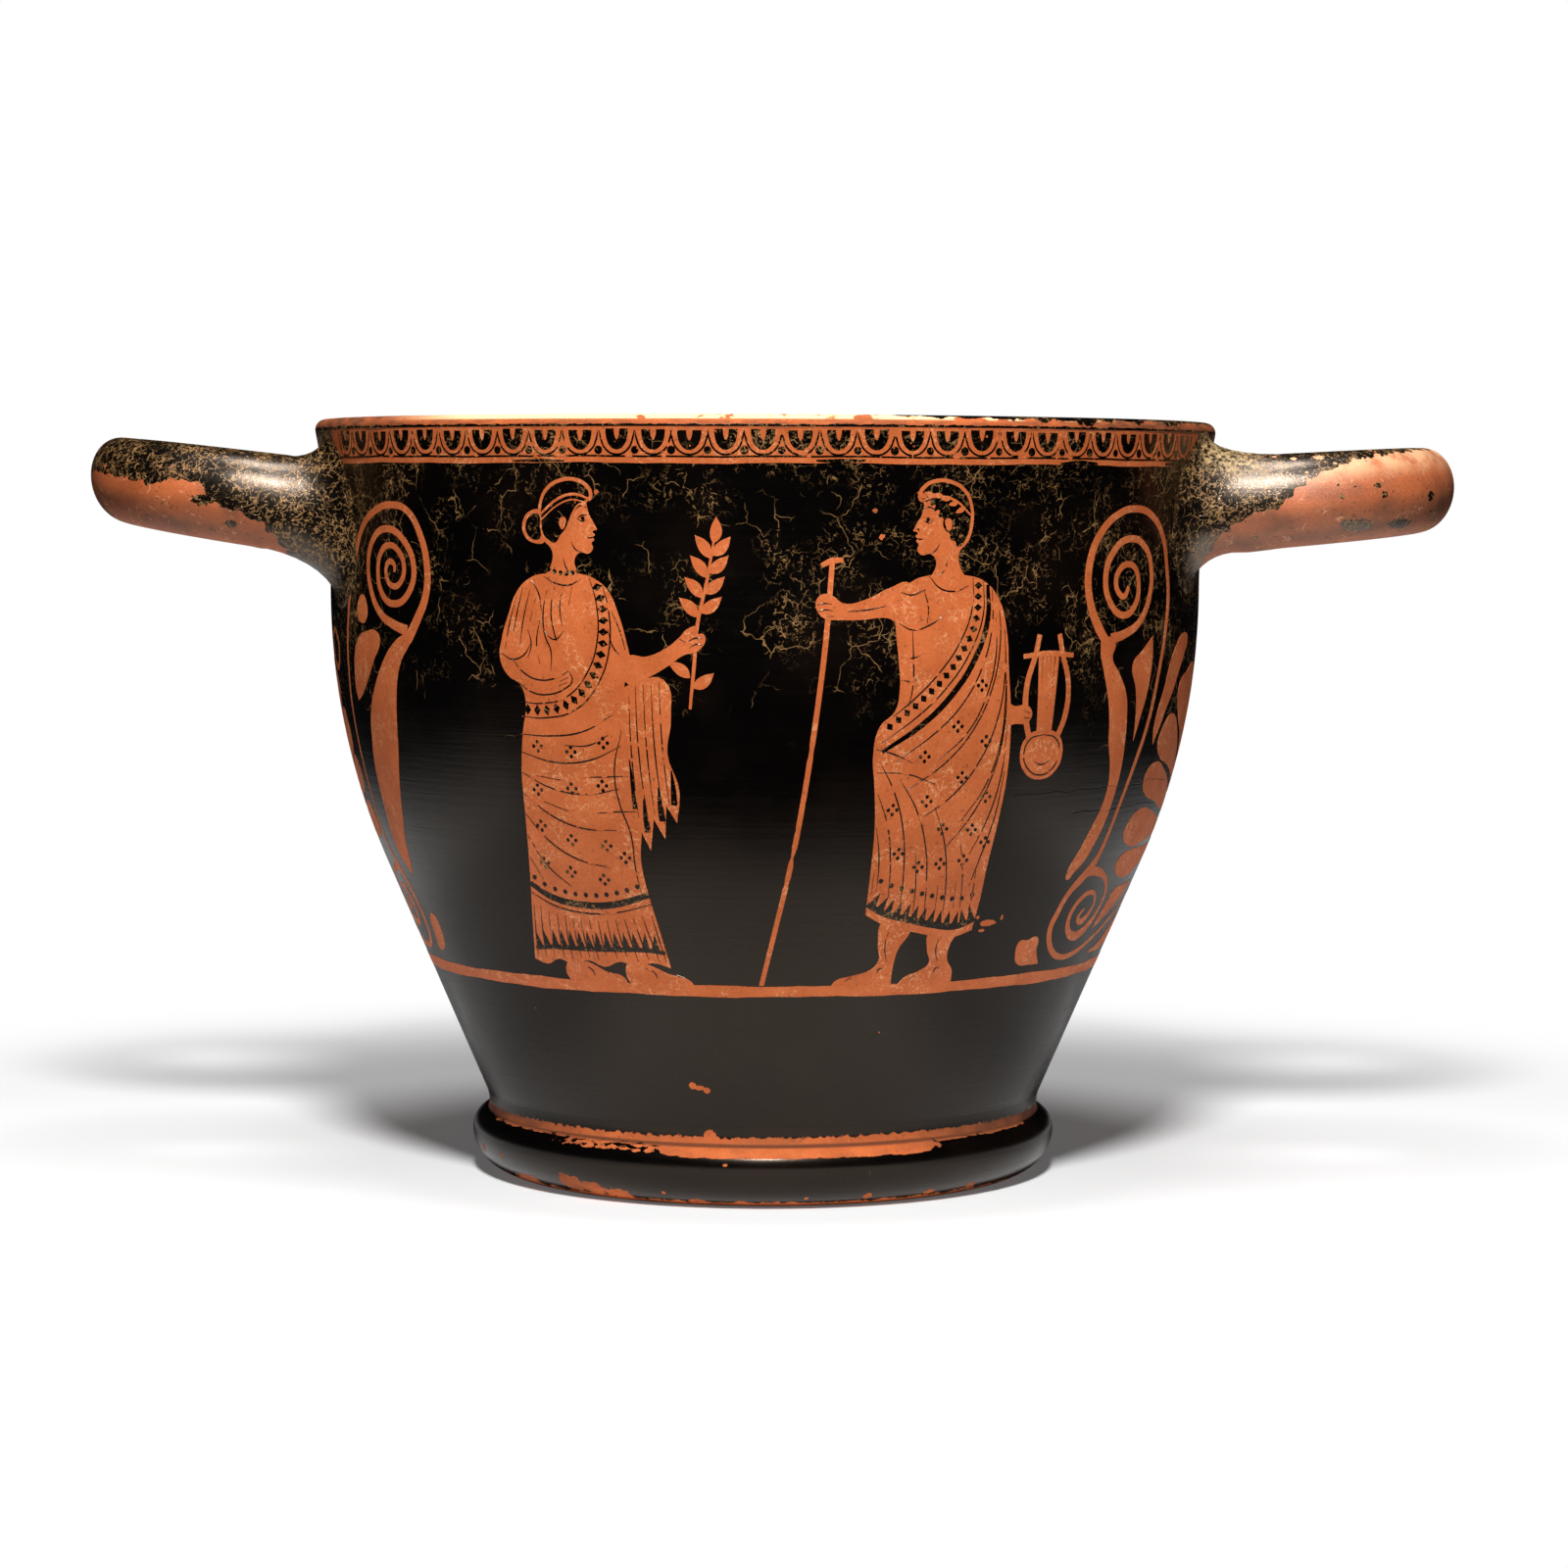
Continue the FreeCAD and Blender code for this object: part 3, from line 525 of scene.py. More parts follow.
def handle(name, side, reach, root_height, slope, root_flares):
    """A loop on one side (-1 left, 1 right), with the clay spread on the wall above, below and beside."""
    centre = reach - HALF_SPAN
    lean = math.tan(math.radians(slope))
    wall_front = math.sqrt(wall_radius(root_height) ** 2 - HALF_SPAN**2)
    straight = centre - wall_front
    turns = [2 * math.pi * step / AROUND for step in range(AROUND)]

    def section(along):
        share = along / (straight + HALF_SPAN * math.pi / 2)
        return 18 - 2 * share, 22.8 - 3 * share

    def root_point(turn, step_angle, extra=0.0):
        """A point of the spread clay: on the wall at an angle of 0, and on the limb at a right angle."""
        upward = math.sin(turn) ** 2
        ends = root_flares["above" if math.sin(turn) > 0 else "below"]
        spread, length = (a * (1 - upward) + b * upward for a, b in zip(root_flares["beside"], ends))
        spread = spread * (1 - math.sin(step_angle)) + extra
        distance = length * (1 - math.cos(step_angle)) - extra
        (across, up), (out_across, out_up) = oval(turn, *section(max(distance, 0)))
        forward = HALF_SPAN + across + out_across * spread
        height = root_height + up + out_up * spread
        x = math.sqrt(wall_radius(height) ** 2 - forward**2) + distance
        return x, forward, height + (x - SLOPE_FROM) * lean * step_angle / (math.pi / 2)

    rings = [[root_point(turn, 0, 1.0) for turn in turns]]
    rings += [[root_point(turn, math.pi / 2 * step / 8) for turn in turns] for step in range(9)]
    last_root = rings[-1]
    for share in (0.25, 0.5, 0.75, 1.0):
        ring = []
        for turn, (x, y, z) in zip(turns, last_root):
            target = x + (centre - x) * share
            (across, up), unused = oval(turn, *section(target - wall_front))
            smooth = share * share * (3 - 2 * share)
            level = root_height + up + (target - SLOPE_FROM) * lean
            ring.append((target, HALF_SPAN + across, z + (level - z) * min(1, smooth * 1.5)))
        rings.append(ring)
    for bend in steps(0, math.pi / 2, 24)[1:]:
        ring = []
        for turn in turns:
            (across, up), unused = oval(turn, *section(straight + HALF_SPAN * bend))
            x = centre + (HALF_SPAN + across) * math.sin(bend)
            ring.append((x, (HALF_SPAN + across) * math.cos(bend), root_height + up + (x - SLOPE_FROM) * lean))
        rings.append(ring)
    rings += [[(x, -y, z) for x, y, z in ring] for ring in rings[-2::-1]]
    points = [(side * x / 1000, -y / 1000, z / 1000) for ring in rings for x, y, z in ring]
    faces = []
    for first in range(0, len(points) - AROUND, AROUND):
        for step in range(AROUND):
            here, following = first + step, first + (step + 1) % AROUND
            faces.append((here, following, following + AROUND, here + AROUND))
    faces.append(tuple(range(AROUND)))
    faces.append(tuple(len(points) - 1 - step for step in range(AROUND)))
    mesh = bpy.data.meshes.new(name)
    mesh.from_pydata(points, [], faces)
    piece = add_piece(name, mesh)
    smooth_over(50)
    return piece


def worn_below(edge, chips, left_on):
    """Bare clay below an edge along the handle, given as heights from one end on, chips, and gloss left on."""
    first, last = edge[0][0], edge[-1][0]

    def bare(place):
        x, y, z = sides_of(place)
        along = node(place.tree, "MapRange", {"Value": x, "From Min": first, "From Max": last})
        line = node(place.tree, "FloatCurve", {"Value": along})
        mapping = line.socket.node.mapping
        points = mapping.curves[0].points
        while len(points) < len(edge):
            points.new(0.5, 0.5)
        for point, (where, height) in zip(points, edge):
            point.location = ((where - first) / (last - first), (height - EDGE_LOWEST) / EDGE_RANGE)
        mapping.update()
        over = line * EDGE_RANGE + EDGE_LOWEST + (mottle(place, 2.6, 5.0) * 5.0 - 2.5) - z
        left_black = either(rise(mottle(place, 2.3, 4.0), 0.70, 0.72), *flakes(place, left_on))
        rubbed = rise(over, -0.1, 0.1) * (left_black * -1.0 + 1.0)
        specks = rise(mottle(place, 1.5, 4.0), 0.66, 0.68) * rise(over, -6.0, -1.0)
        return either(rubbed, specks, *flakes(place, chips))
    return bare


def stains_shade_and_highlight_on_handle(place, clay):
    """Grime in the pores of the worn clay, painted shade in a band low down, pale scratches, and a painted highlight
    on top.
    """
    x, y, z = sides_of(place)
    smear = rise(mottle(place, 8, 5.0), 0.42, 0.75)
    pores = rise(mottle(stretch(place, 0.6, 1, 1), 0.8, 2.0), 0.64, 0.70)
    over = z - (x.reckon("ABSOLUTE") * 0.1 + 149.3)
    # The band low on the limb is painted shade.
    dirt_and_darkening = between(over, -9.0, -2.0, 1.8) * 0.45 + either(smear * 0.45, pores * 0.75)
    # The pale top is a painted highlight.
    painted_highlight = rise(over, 2.5, 7.5) * rise(mottle(place, 5, 4.0), 0.25, 0.60)
    scratches = hairlines(place, 2.6, 0.12, 1.5) * rise(mottle(place, 6, 2.0), 0.48, 0.58)
    clay = blend(scratches * 0.6, blend(dirt_and_darkening, clay, CLAY_DARK), CLAY_PALE)
    return blend(painted_highlight * 0.55, clay, CLAY_CREAM)


def roots_and_sheen_on_handle(place):
    """Root marks all over, and a pale layer of them on top of the right handle's roots, partly a painted highlight."""
    x, y, z = sides_of(place)
    return rise(z, 164.0, 172.0) * rise(x, 98.0, 107.0) * rise(x, 124.0, 108.0) * 0.55 + 0.32


left_edge = [
    (-158, 167.6), (-152, 166.4), (-146, 164.8), (-136, 165.2), (-130.5, 164.4), (-128.6, 161), (-123, 158.6),
    (-115.5, 154.5), (-111, 148.5), (-108.5, 139), (-107, 128),
]
right_edge = [
    (100.5, 128), (101.3, 142), (101.9, 147.5), (103.7, 149.8), (105.3, 153), (107.8, 155.4), (112.3, 158.4),
    (120, 161.2), (123.2, 164.6), (129, 168.1), (136, 170.8), (150, 173.2), (162, 175),
]
left_chips = [((-103.4, -44.4, 166.4), 1.6, 0.6, 1.3), ((-101.8, -45.6, 166.0), 0.9, 0.6)]
left_spots = [
    ((-130.0, -40.4, 160.9), 1.2, 0.8, 2.6), ((-127.8, -41.0, 162.7), 0.5), ((-123.7, -40.0, 155.3), 1.0, 0.9, 1.4),
]
right_chips = [
    ((122.7, -37.1, 171.5), 0.5, 0.9, 1.5), ((128.6, -36.9, 171.8), 0.6, 0.9, 2.0),
    ((118.3, -35.8, 171.9), 0.4, 0.9, 1.5),
]
right_spots = [
    ((156.4, -26.0, 163.0), 1.2, 0.8), ((133.8, -40.5, 162.7), 0.6, 0.7), ((142.4, -37.2, 165.4), 0.6, 0.8, 1.8),
    ((144.1, -36.5, 163.2), 0.8, 0.9), ((137.5, -37.3, 156.2), 1.5, 0.9, 3.0), ((148.6, -30.6, 156.5), 1.2, 0.9, 3.2),
]
left_flares = {"above": (6.4, 12), "below": (12, 17), "beside": (4, 9)}
right_flares = {"above": (6.0, 22), "below": (9, 10), "beside": (5, 9)}
handle_left = handle("handle_left_pulled", -1, 154.0, 159.0, 7.6, left_flares)
handle_right = handle("handle_right_pulled", 1, 157.5, 160.4, 4.3, right_flares)
for piece, word, worn_off, bend in (
    (handle_left, "left", worn_below(left_edge, left_chips, left_spots), 1.52),
    (handle_right, "right", worn_below(right_edge, right_chips, right_spots), 1.75),
):
    gloss = black_gloss("gloss_of_" + word + "_handle", worn_off, roots_and_sheen_on_handle, stains_shade_and_highlight_on_handle, 1.0, bend, 0.32)
    piece.data.materials.append(gloss)
    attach(piece, "root")
    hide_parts("handle_" + word, "root_fillet_" + word + "_front", "root_fillet_" + word + "_back")


# Egg pattern under the lip, one on each painted side. A strip of the wall is left unglossed between the
# handles, and the painter draws thirty eggs on it by hand with a fine relief line and a full brush.
def at(turn, height):
    """A place on the wall, given by its turn from the front in degrees, as a place on a flat drawing."""
    return math.radians(turn) * wall_radius(height), height


def new_drawing(name, dimensions, fine, shapes, closed):
    """A curve with a smooth line through each shape's points. It gives back the points with their curve points."""
    curve = bpy.data.curves.new(name, "CURVE")
    curve.dimensions = dimensions
    curve.resolution_u = fine
    ends = []
    for shape in shapes:
        spline = curve.splines.new("BEZIER")
        spline.use_cyclic_u = closed
        spline.bezier_points.add(len(shape) - 1)
        ends.append(list(zip(spline.bezier_points, shape)))
        for point, spot in ends[-1]:
            point.co = (spot[0] / 1000, spot[1] / 1000, 0)
            point.handle_left_type = point.handle_right_type = "AUTO"
    return curve, ends


def painted_areas(name, outlines, fine=5):
    """Closed outlines, filled. A third entry of a point, where it has one, makes a sharp corner there."""
    curve, outlined = new_drawing(name, "2D", fine, outlines, True)
    curve.fill_mode = "BOTH"
    curve.extrude = 0.0001
    for outline in outlined:
        for point, spot in outline:
            if len(spot) > 2:
                point.handle_left_type = point.handle_right_type = "VECTOR"
    piece = as_mesh(name, curve)
    bpy.ops.object.mode_set(mode="EDIT")
    bpy.ops.mesh.select_all(action="SELECT")
    bpy.ops.mesh.remove_doubles(threshold=0.000001)
    for axis, across in enumerate([(1, 0, 0), (0, 1, 0)]):
        spots = [corner[axis] for corner in piece.bound_box]
        pieces = int((max(spots) - min(spots)) / 0.0035) + 1
        for cut in steps(min(spots), max(spots), pieces)[1:-1]:
            bpy.ops.mesh.select_all(action="SELECT")
            bpy.ops.mesh.bisect(plane_co=[cut * part for part in across], plane_no=across)
    bpy.ops.object.mode_set(mode="OBJECT")
    return piece


def brush_lines(name, strokes, width, fine=6, taper=0.35):
    """Lines drawn with a brush: each a row of points, and a third entry of a point is its own width."""
    curve, drawn = new_drawing(name, "3D", fine, strokes, False)
    curve.bevel_depth = 0.0005
    curve.bevel_resolution = 0
    curve.use_fill_caps = True
    curve.twist_mode = "Z_UP"
    for stroke in drawn:
        for step, (point, spot) in enumerate(stroke):
            own = spot[2] if len(spot) > 2 else width
            point.radius = own * (taper if step in (0, len(stroke) - 1) else 1)
    return as_mesh(name, curve)


def lay_on_wall(piece, top, side, bottom, turn=0.0):
    """Bends a flat drawing round the wall, its top, its middle and its underside at these heights over it."""
    for corner in piece.data.vertices:
        across, height, out = (1000 * part for part in corner.co)
        level = top if out > 0.001 else bottom if out < -0.001 else side
        radius = wall_radius(height) + level
        angle = across / wall_radius(height) + math.radians(turn)
        corner.co = (radius * math.sin(angle) / 1000, -radius * math.cos(angle) / 1000, height / 1000)
    piece.data.polygons.foreach_set("use_smooth", [True] * len(piece.data.polygons))
    pick(piece)
    smooth_over(35)


def join_up(name, pieces):
    pick(pieces[0])
    for piece in pieces:
        piece.select_set(True)
    bpy.ops.object.join()
    pieces[0].name = name
    return pieces[0]


def bare_clay(name):
    """The unglossed ground of the painting: clay with a soft polish, grey smears and root lines."""
    finish = bpy.data.materials.new(name)
    place = place_in_mm(empty_tree(finish))
    smear = rise(mottle(place, 6, 4.0, 0.6), 0.62, 0.85)
    colour = blend(smear * 0.5, clay_colour(place), CLAY_DARK)
    roots = either(hairlines(place, 2.8, 0.13, 3.0), hairlines(place, 1.3, 0.10, 1.4))
    roots = roots * rise(mottle(place, 8, 3.0), 0.42, 0.62)
    cracked = cracks(place)
    colour = blend(cracked * 0.8, blend(roots * 0.6, colour, CLAY_PALE), CLAY_DARK)
    surface(colour, mottle(place, 3, 2.0) * 0.2 + 0.5, mottle(place, 0.7, 4.0) - cracked, 0.05, 0.3)
    return finish


def hardly_bare(place):
    return rise(mottle(place, 1.3, 4.0), 0.68, 0.70)


def rubbed_lines(place):
    """Breaks in the thin lines, where the raised gloss has come away."""
    return rise(mottle(place, 3.2, 5.0), 0.58, 0.61)


# Of each kind of paint: the heights over the wall of its top, sides and underside, and its material.
CLAY = ((0.05, 0.02, -0.25), bare_clay("bare_clay"))
FULL_BRUSH = ((0.09, 0.06, -0.2), black_gloss("gloss_of_brushwork", hardly_bare, 0.12))
RELIEF_LINE = ((0.14, 0.08, -0.1), black_gloss("gloss_of_relief_lines", rubbed_lines, 0.0))


def finish_painting(piece, kind, turn=0.0):
    levels, material = kind
    lay_on_wall(piece, *levels, turn)
    piece.data.materials.clear()
    piece.data.materials.append(material)
    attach(piece, "root")


def wobble(place, size=0.12):
    return size * (math.sin(place * 0.21) + 0.6 * math.sin(place * 0.57 + 1.3) + 0.4 * math.sin(place * 1.31 + 4))


def two_degree_steps(first, last):
    return steps(first, last, int(abs(last - first) / 2))


def strip(first, last, bottom, top):
    """A strip between two turns from the front, its edges drawn by hand on the turning cup."""
    turns = two_degree_steps(first, last)
    low = [(*at(turn, bottom + wobble(turn)), "corner") for turn in turns]
    return low + [(*at(turn, top + wobble(turn + 50)), "corner") for turn in reversed(turns)]


EGG_BAND_END = 68.5  # in degrees to each side of its middle
EGG_BASE = 170.9
EGG_BLACK = [
    (-2.6, 6.15, "corner"), (-2.5, 4.6), (-1.6, 2.3), (0, 1.45), (1.6, 2.3), (2.5, 4.6), (2.6, 6.15, "corner"),
    (0.65, 6.15, "corner"), (0.6, 5.2), (0.35, 4.2), (0, 3.7), (-0.35, 4.2), (-0.6, 5.2), (-0.65, 6.15, "corner"),
]
EGG_LINE = [(-4.0, 6.0), (-3.75, 4.4), (-2.5, 1.5), (0, 0.35), (2.5, 1.5), (3.75, 4.4), (4.0, 6.0)]
# Uneven black along the foot of the band: turn, height and brush width.
SMEARS = [
    [(6.2, 170.0, 0.5), (9.0, 169.9, 1.1), (12.0, 170.1, 0.6)],
    [(-31.0, 169.8, 0.4), (-27.5, 169.9, 0.8), (-24.0, 169.8, 0.4)],
    [(38.0, 169.7, 0.6), (41.0, 169.9, 1.3), (44.2, 169.8, 0.7)],
    [(59.0, 169.9, 0.8), (64.0, 170.1, 1.4), (68.4, 170.1, 1.2)],
]


def on_drawing(shapes):
    return [[(*at(turn, height), *rest) for turn, height, *rest in shape] for shape in shapes]


def ring_of(middle, size, count=4):
    """Points round a spot, for a dot or a lozenge."""
    x, y = middle
    turns = [2 * math.pi * step / count for step in range(count)]
    return [(x + size * math.cos(turn), y + size * math.sin(turn)) for turn in turns]


def egg_rows():
    """The middles of the eggs, with the uneven steps of a hand that works to each side."""
    turns = [0.0]
    for direction in (-1, 1):
        turn = 0.0
        while True:
            turn += direction * (4.32 + 0.009 * abs(turn) + 0.12 * math.sin(turn * 1.7))
            if abs(turn) >= EGG_BAND_END - 2:
                break
            turns.append(turn)
    return sorted(turns)


def egg_band(side, turn):
    ground = painted_areas("egg_ground_" + side, [strip(-EGG_BAND_END, EGG_BAND_END, 169.4, 176.95)])
    finish_painting(ground, CLAY, turn)
    rows = egg_rows()
    eggs, lines, dots = [], [], []
    for number, middle in enumerate(rows):
        across, unused = at(middle, EGG_BASE)
        wide = 1 + 0.0011 * abs(middle) + 0.03 * math.sin(number * 2.3)
        tall = 0.93 + 0.03 * math.sin(number * 1.9 + 1)
        eggs.append([(across + x * wide, EGG_BASE + y * tall, *rest) for x, y, *rest in EGG_BLACK])
        lines.append([(across + x * wide, EGG_BASE + y * 0.93) for x, y in EGG_LINE])
        gap = (rows[number + 1] - middle) / 2 if number + 1 < len(rows) else 2.4
        dot, unused = at(middle + gap, EGG_BASE)
        dots.append(ring_of((dot, EGG_BASE + 1.3), 0.88 + 0.08 * math.sin(number * 3.1), 6))
    finish_painting(painted_areas("egg_blacks_" + side, eggs + dots, 3), FULL_BRUSH, turn)
    finish_painting(brush_lines("stripe_smears_" + side, on_drawing(SMEARS), 0.8, 6, 0.8), FULL_BRUSH, turn)
    turns = two_degree_steps(-EGG_BAND_END, EGG_BAND_END)
    lines.append([(*at(place, 170.85 + wobble(place, 0.07)), 0.4) for place in turns])
    finish_painting(brush_lines("egg_lines_" + side, lines, 0.42, 4), RELIEF_LINE, turn)


egg_band("front", 0.0)
egg_band("back", 180.0)


# Ground line. A stripe of clay left bare all round the cup, which the figures stand on and the
# ornament under the handles grows from.
ground_line = painted_areas("ground_line", [strip(-180.3, 180.3, 50.5, 53.1)])
finish_painting(ground_line, CLAY)


# Ornament under the handles. Two tall tendrils flank a palmette on each side of the cup. All of it is
# bare clay: the painter outlined it and filled the ground round it with black gloss.
# Each place is a turn from the front in degrees and a height, and a third number is a brush width.
RIGHT_STROKES = [
    [(48.6, 128.8, 3), (46.3, 133, 2.6), (44.4, 139.5, 2.3), (44.2, 147, 2.3), (45.9, 154, 2.1), (49.3, 158.6, 1.7),
    (53, 159.8, 1.6), (57, 158.3, 1.7), (60.6, 153.5, 1.9), (62.4, 146.5, 1.9), (63.1, 140, 1.9), (62.7, 133.6, 1.8),
    (62.2, 127.9, 1.7), (61.4, 120.7, 1.6), (60.9, 115, 1.6), (60, 107.8, 1.5), (59.1, 102.8, 1.5), (58.2, 97.2, 1.4),
    (57.4, 91.5, 1.3), (56.8, 85.6, 1.2), (56.1, 80.3, 1.6), (54.9, 77, 2.4), (53.2, 74.4, 2.2), (51.9, 72.4, 1.7),
    (51, 70, 1.6), (50.5, 67, 1.7), (50.1, 64.2, 1.8), (50.5, 61.9, 1.9), (51.7, 59.4, 1.9), (53.7, 57.2, 1.7),
    (56.3, 56, 1.5), (59.4, 56, 1.3), (62.6, 57.1, 1.2), (65.4, 58.7, 1.1), (68.5, 60.5, 1), (71.7, 62.7, 1),
    (75.7, 65.1, 1), (80.5, 67.6, 1.2), (85, 69.4, 1.4), (90.6, 70.2, 1.6)], [(48.8, 130.6, 3), (51.8, 131.6, 2.1),
    (55.3, 134.5, 1.9), (57.6, 140.5, 1.9), (57.8, 146, 1.9), (56.1, 150.9, 1.7), (51.9, 153, 1.6), (48.7, 150, 1.9),
    (47.4, 144.8, 1.9), (48.3, 138.9, 1.8), (51.4, 135.8, 1.6), (54.1, 138.6, 1.8), (54.6, 143.2, 1.7),
    (53.8, 146.2, 1.6), (52, 147.3, 1.4), (50.2, 146, 1.6), (49.5, 143.3, 1.6), (50.2, 140.8, 1.5),
    (51.4, 140.1, 1.4), (52.3, 142.2, 1.5)], [(54.9, 76.6, 3), (57.6, 76.2, 2.2), (59.9, 75.1, 1.7),
    (62.1, 73.2, 1.5), (63.5, 70.9, 1.3), (63.9, 69, 1.2), (63.8, 67.1, 1.1), (63.3, 65.1, 1.4), (62.1, 63, 1.9),
    (60.4, 61.3, 2.2), (57.7, 60.8, 2.3), (55.4, 62.6, 2.1), (54.4, 65.4, 1.6), (54.7, 68, 1.4), (55.9, 70.1, 1.3),
    (57.6, 71.2, 1.2), (59.7, 70.5, 1.1), (60.9, 68.3, 1), (60.6, 66.4, 1.1), (59.8, 64.9, 1.4), (58.4, 64.1, 1.6),
    (57.3, 65, 1.4), (57.4, 66.1, 1), (58.2, 67.3, 0.8)],
]
RIGHT_AREAS = [
    [(47.2, 130.6), (46.9, 127.8), (47.5, 124.6), (49.1, 118.1), (50.2, 112.4), (51, 106.6), (52.4, 101), (53, 96),
    (52.6, 91.2), (51.6, 87), (50.4, 82), (49.2, 77.2), (49.6, 75.2), (51, 76.9), (52.6, 79.4), (53.7, 83.2),
    (54.6, 87.4), (55.1, 92.4), (55.3, 97.5), (55.2, 102), (54.9, 106.3), (54.2, 112.8), (53.3, 117.8), (51, 123),
    (49.4, 126.2), (49.8, 129.6)], [(58.8, 130.8, 1), (56.3, 127.6), (54.1, 124.4), (55.6, 118.5), (56.5, 112.6),
    (57, 106.8, 1), (58, 113.2), (58.8, 118.5), (59.2, 125.4)], [(69.9, 130.9), (66.9, 127.9), (65.1, 123.6),
    (64.2, 118.5), (62.9, 112.9), (62.7, 108.9), (63.4, 105.4, 1), (64.6, 109.2), (65.9, 113.2), (67.9, 118),
    (69.4, 122.1), (71.4, 126.4), (72.4, 129.6)], [(43.6, 61.2), (45.6, 61.4), (47.3, 62), (48.2, 60.8), (48.4, 59),
    (50.2, 55.2, 1), (47.8, 55.2), (44.6, 55.9), (43.6, 58)], [(76.6, 71.9, 1), (71.5, 71.3), (66.9, 70.2),
    (66.2, 67.4), (65.2, 64.8), (64.4, 61.6, 1), (66.5, 62.8), (68.8, 64.5), (71.8, 66.6), (74.6, 69)],
    [(79, 63.4, 1), (75.2, 60.5), (72, 57.6), (66.9, 55.6, 1), (71.6, 55.2), (76.5, 56), (82, 58.5), (86, 62.5),
    (84, 64.2)],
]
PALMETTE = [
    [(90, 131), (86.6, 128.6), (85.3, 122.5), (86.2, 113), (88.9, 94.6, 1), (91.1, 94.6, 1), (93.8, 113),
    (94.7, 122.5), (93.4, 128.6)], [(79.4, 123.4), (74.2, 121.8), (70.4, 118), (71.6, 113.2), (78, 105.6),
    (87, 93.9, 1), (87.9, 94.3, 1), (85, 107), (83.5, 117.5)], [(69.3, 112.2), (66, 109), (65.4, 105), (67, 102.4),
    (72, 100), (78, 96.9), (86.2, 90.7, 1), (86.8, 91.7, 1), (80.4, 99.2), (74.8, 107)], [(66.7, 101.1), (63.5, 98.6),
    (63.5, 95.9), (64.9, 93.8), (71, 91.3), (77, 88.9), (85.8, 87, 1), (86.1, 88.2, 1), (78, 94.6), (71.4, 98.8)],
    [(65.8, 90.2), (62.3, 87.6), (61.9, 84.4), (64, 82), (73, 81.6), (85.8, 83.6, 1), (85.7, 84.7, 1), (77, 87),
    (70.9, 89.1)], [(67.6, 80.2), (64.1, 79.2), (63.3, 76.9), (64.9, 74.9), (68, 73.4), (75, 74.6), (86.4, 80, 1),
    (86, 81.2, 1), (76, 80.2)],
]
HEART = [[(90, 90.6), (88.1, 88.8), (87.6, 85.6), (88.4, 82.4), (90, 81.2), (91.6, 82.4), (92.4, 85.6), (91.9, 88.8)]]
LEFT_STROKES = [
    [(-50.4, 129.8, 3.6), (-48.4, 134.2, 2.6), (-46.6, 139.5, 2.3), (-46.2, 146, 2.2), (-47.4, 153.6, 2),
    (-49.6, 158.6, 1.7), (-52.9, 160, 1.6), (-57.4, 158.6, 1.7), (-61.6, 154.5, 1.8), (-64.2, 148.4, 1.8),
    (-65.6, 143.6, 1.7), (-66.9, 139.4, 1.6), (-67.9, 133.4, 1.5), (-68.8, 128.2, 1.4), (-69.5, 122, 1.3),
    (-70.2, 115.3, 1.2), (-70.6, 107.5, 1.2), (-70.9, 99, 1.1), (-71.2, 91, 1.1), (-71.6, 84.5, 1.1),
    (-71.3, 79, 1.4), (-70.3, 75.2, 2.2), (-69.2, 72, 1.8), (-68.5, 68.8, 1.6), (-68.1, 65, 1.6), (-68.2, 61.5, 1.7),
    (-69.2, 58.4, 1.7), (-71.4, 56.4, 1.6), (-74.4, 55.9, 1.4), (-78, 57, 1.2), (-82, 59.2, 1.1), (-86, 61, 1.2),
    (-90.6, 61.8, 1.4)], [(-50.6, 131.6, 3.2), (-53.6, 132.9, 2.2), (-57, 135.4, 2), (-59.6, 141, 1.9),
    (-60.2, 146.5, 1.9), (-58.6, 151.8, 1.8), (-54.6, 154.6, 1.6), (-50.6, 151.6, 1.8), (-48.9, 146, 1.9),
    (-49.9, 140.6, 1.8), (-53.3, 137.6, 1.6), (-56.6, 140.2, 1.8), (-57.4, 145.4, 1.7), (-56.4, 149.2, 1.6),
    (-54.3, 150.9, 1.4), (-51.9, 149.2, 1.6), (-51, 146, 1.6), (-51.7, 142.8, 1.5), (-53.6, 141.6, 1.4),
    (-55.2, 143.8, 1.4), (-54.8, 146.8, 1.4), (-53.3, 146.6, 1.3), (-53.2, 144.8, 1.2)], [(-70.3, 75.6, 3),
    (-73, 74.6, 2), (-76, 73, 1.6), (-78.4, 70, 1.3), (-78.8, 66.6, 1.2), (-77.4, 63, 1.6), (-75, 61.2, 2),
    (-72.4, 62, 1.9), (-71.3, 65.2, 1.6), (-71.8, 68.6, 1.4), (-73.6, 70.4, 1.3), (-75.6, 69.2, 1.2),
    (-76, 66.6, 1.3), (-74.6, 64.9, 1.5), (-73.2, 66.2, 1.2), (-73.6, 67.6, 0.9)], [(-76.6, 131, 1.4),
    (-79, 128.6, 1.5), (-79.4, 125.2, 1.5), (-78, 122.2, 1.5), (-76.2, 121.8, 1.5), (-74.6, 124.4, 1.5),
    (-74.5, 128, 1.5), (-76.2, 130.6, 1.4)],
]
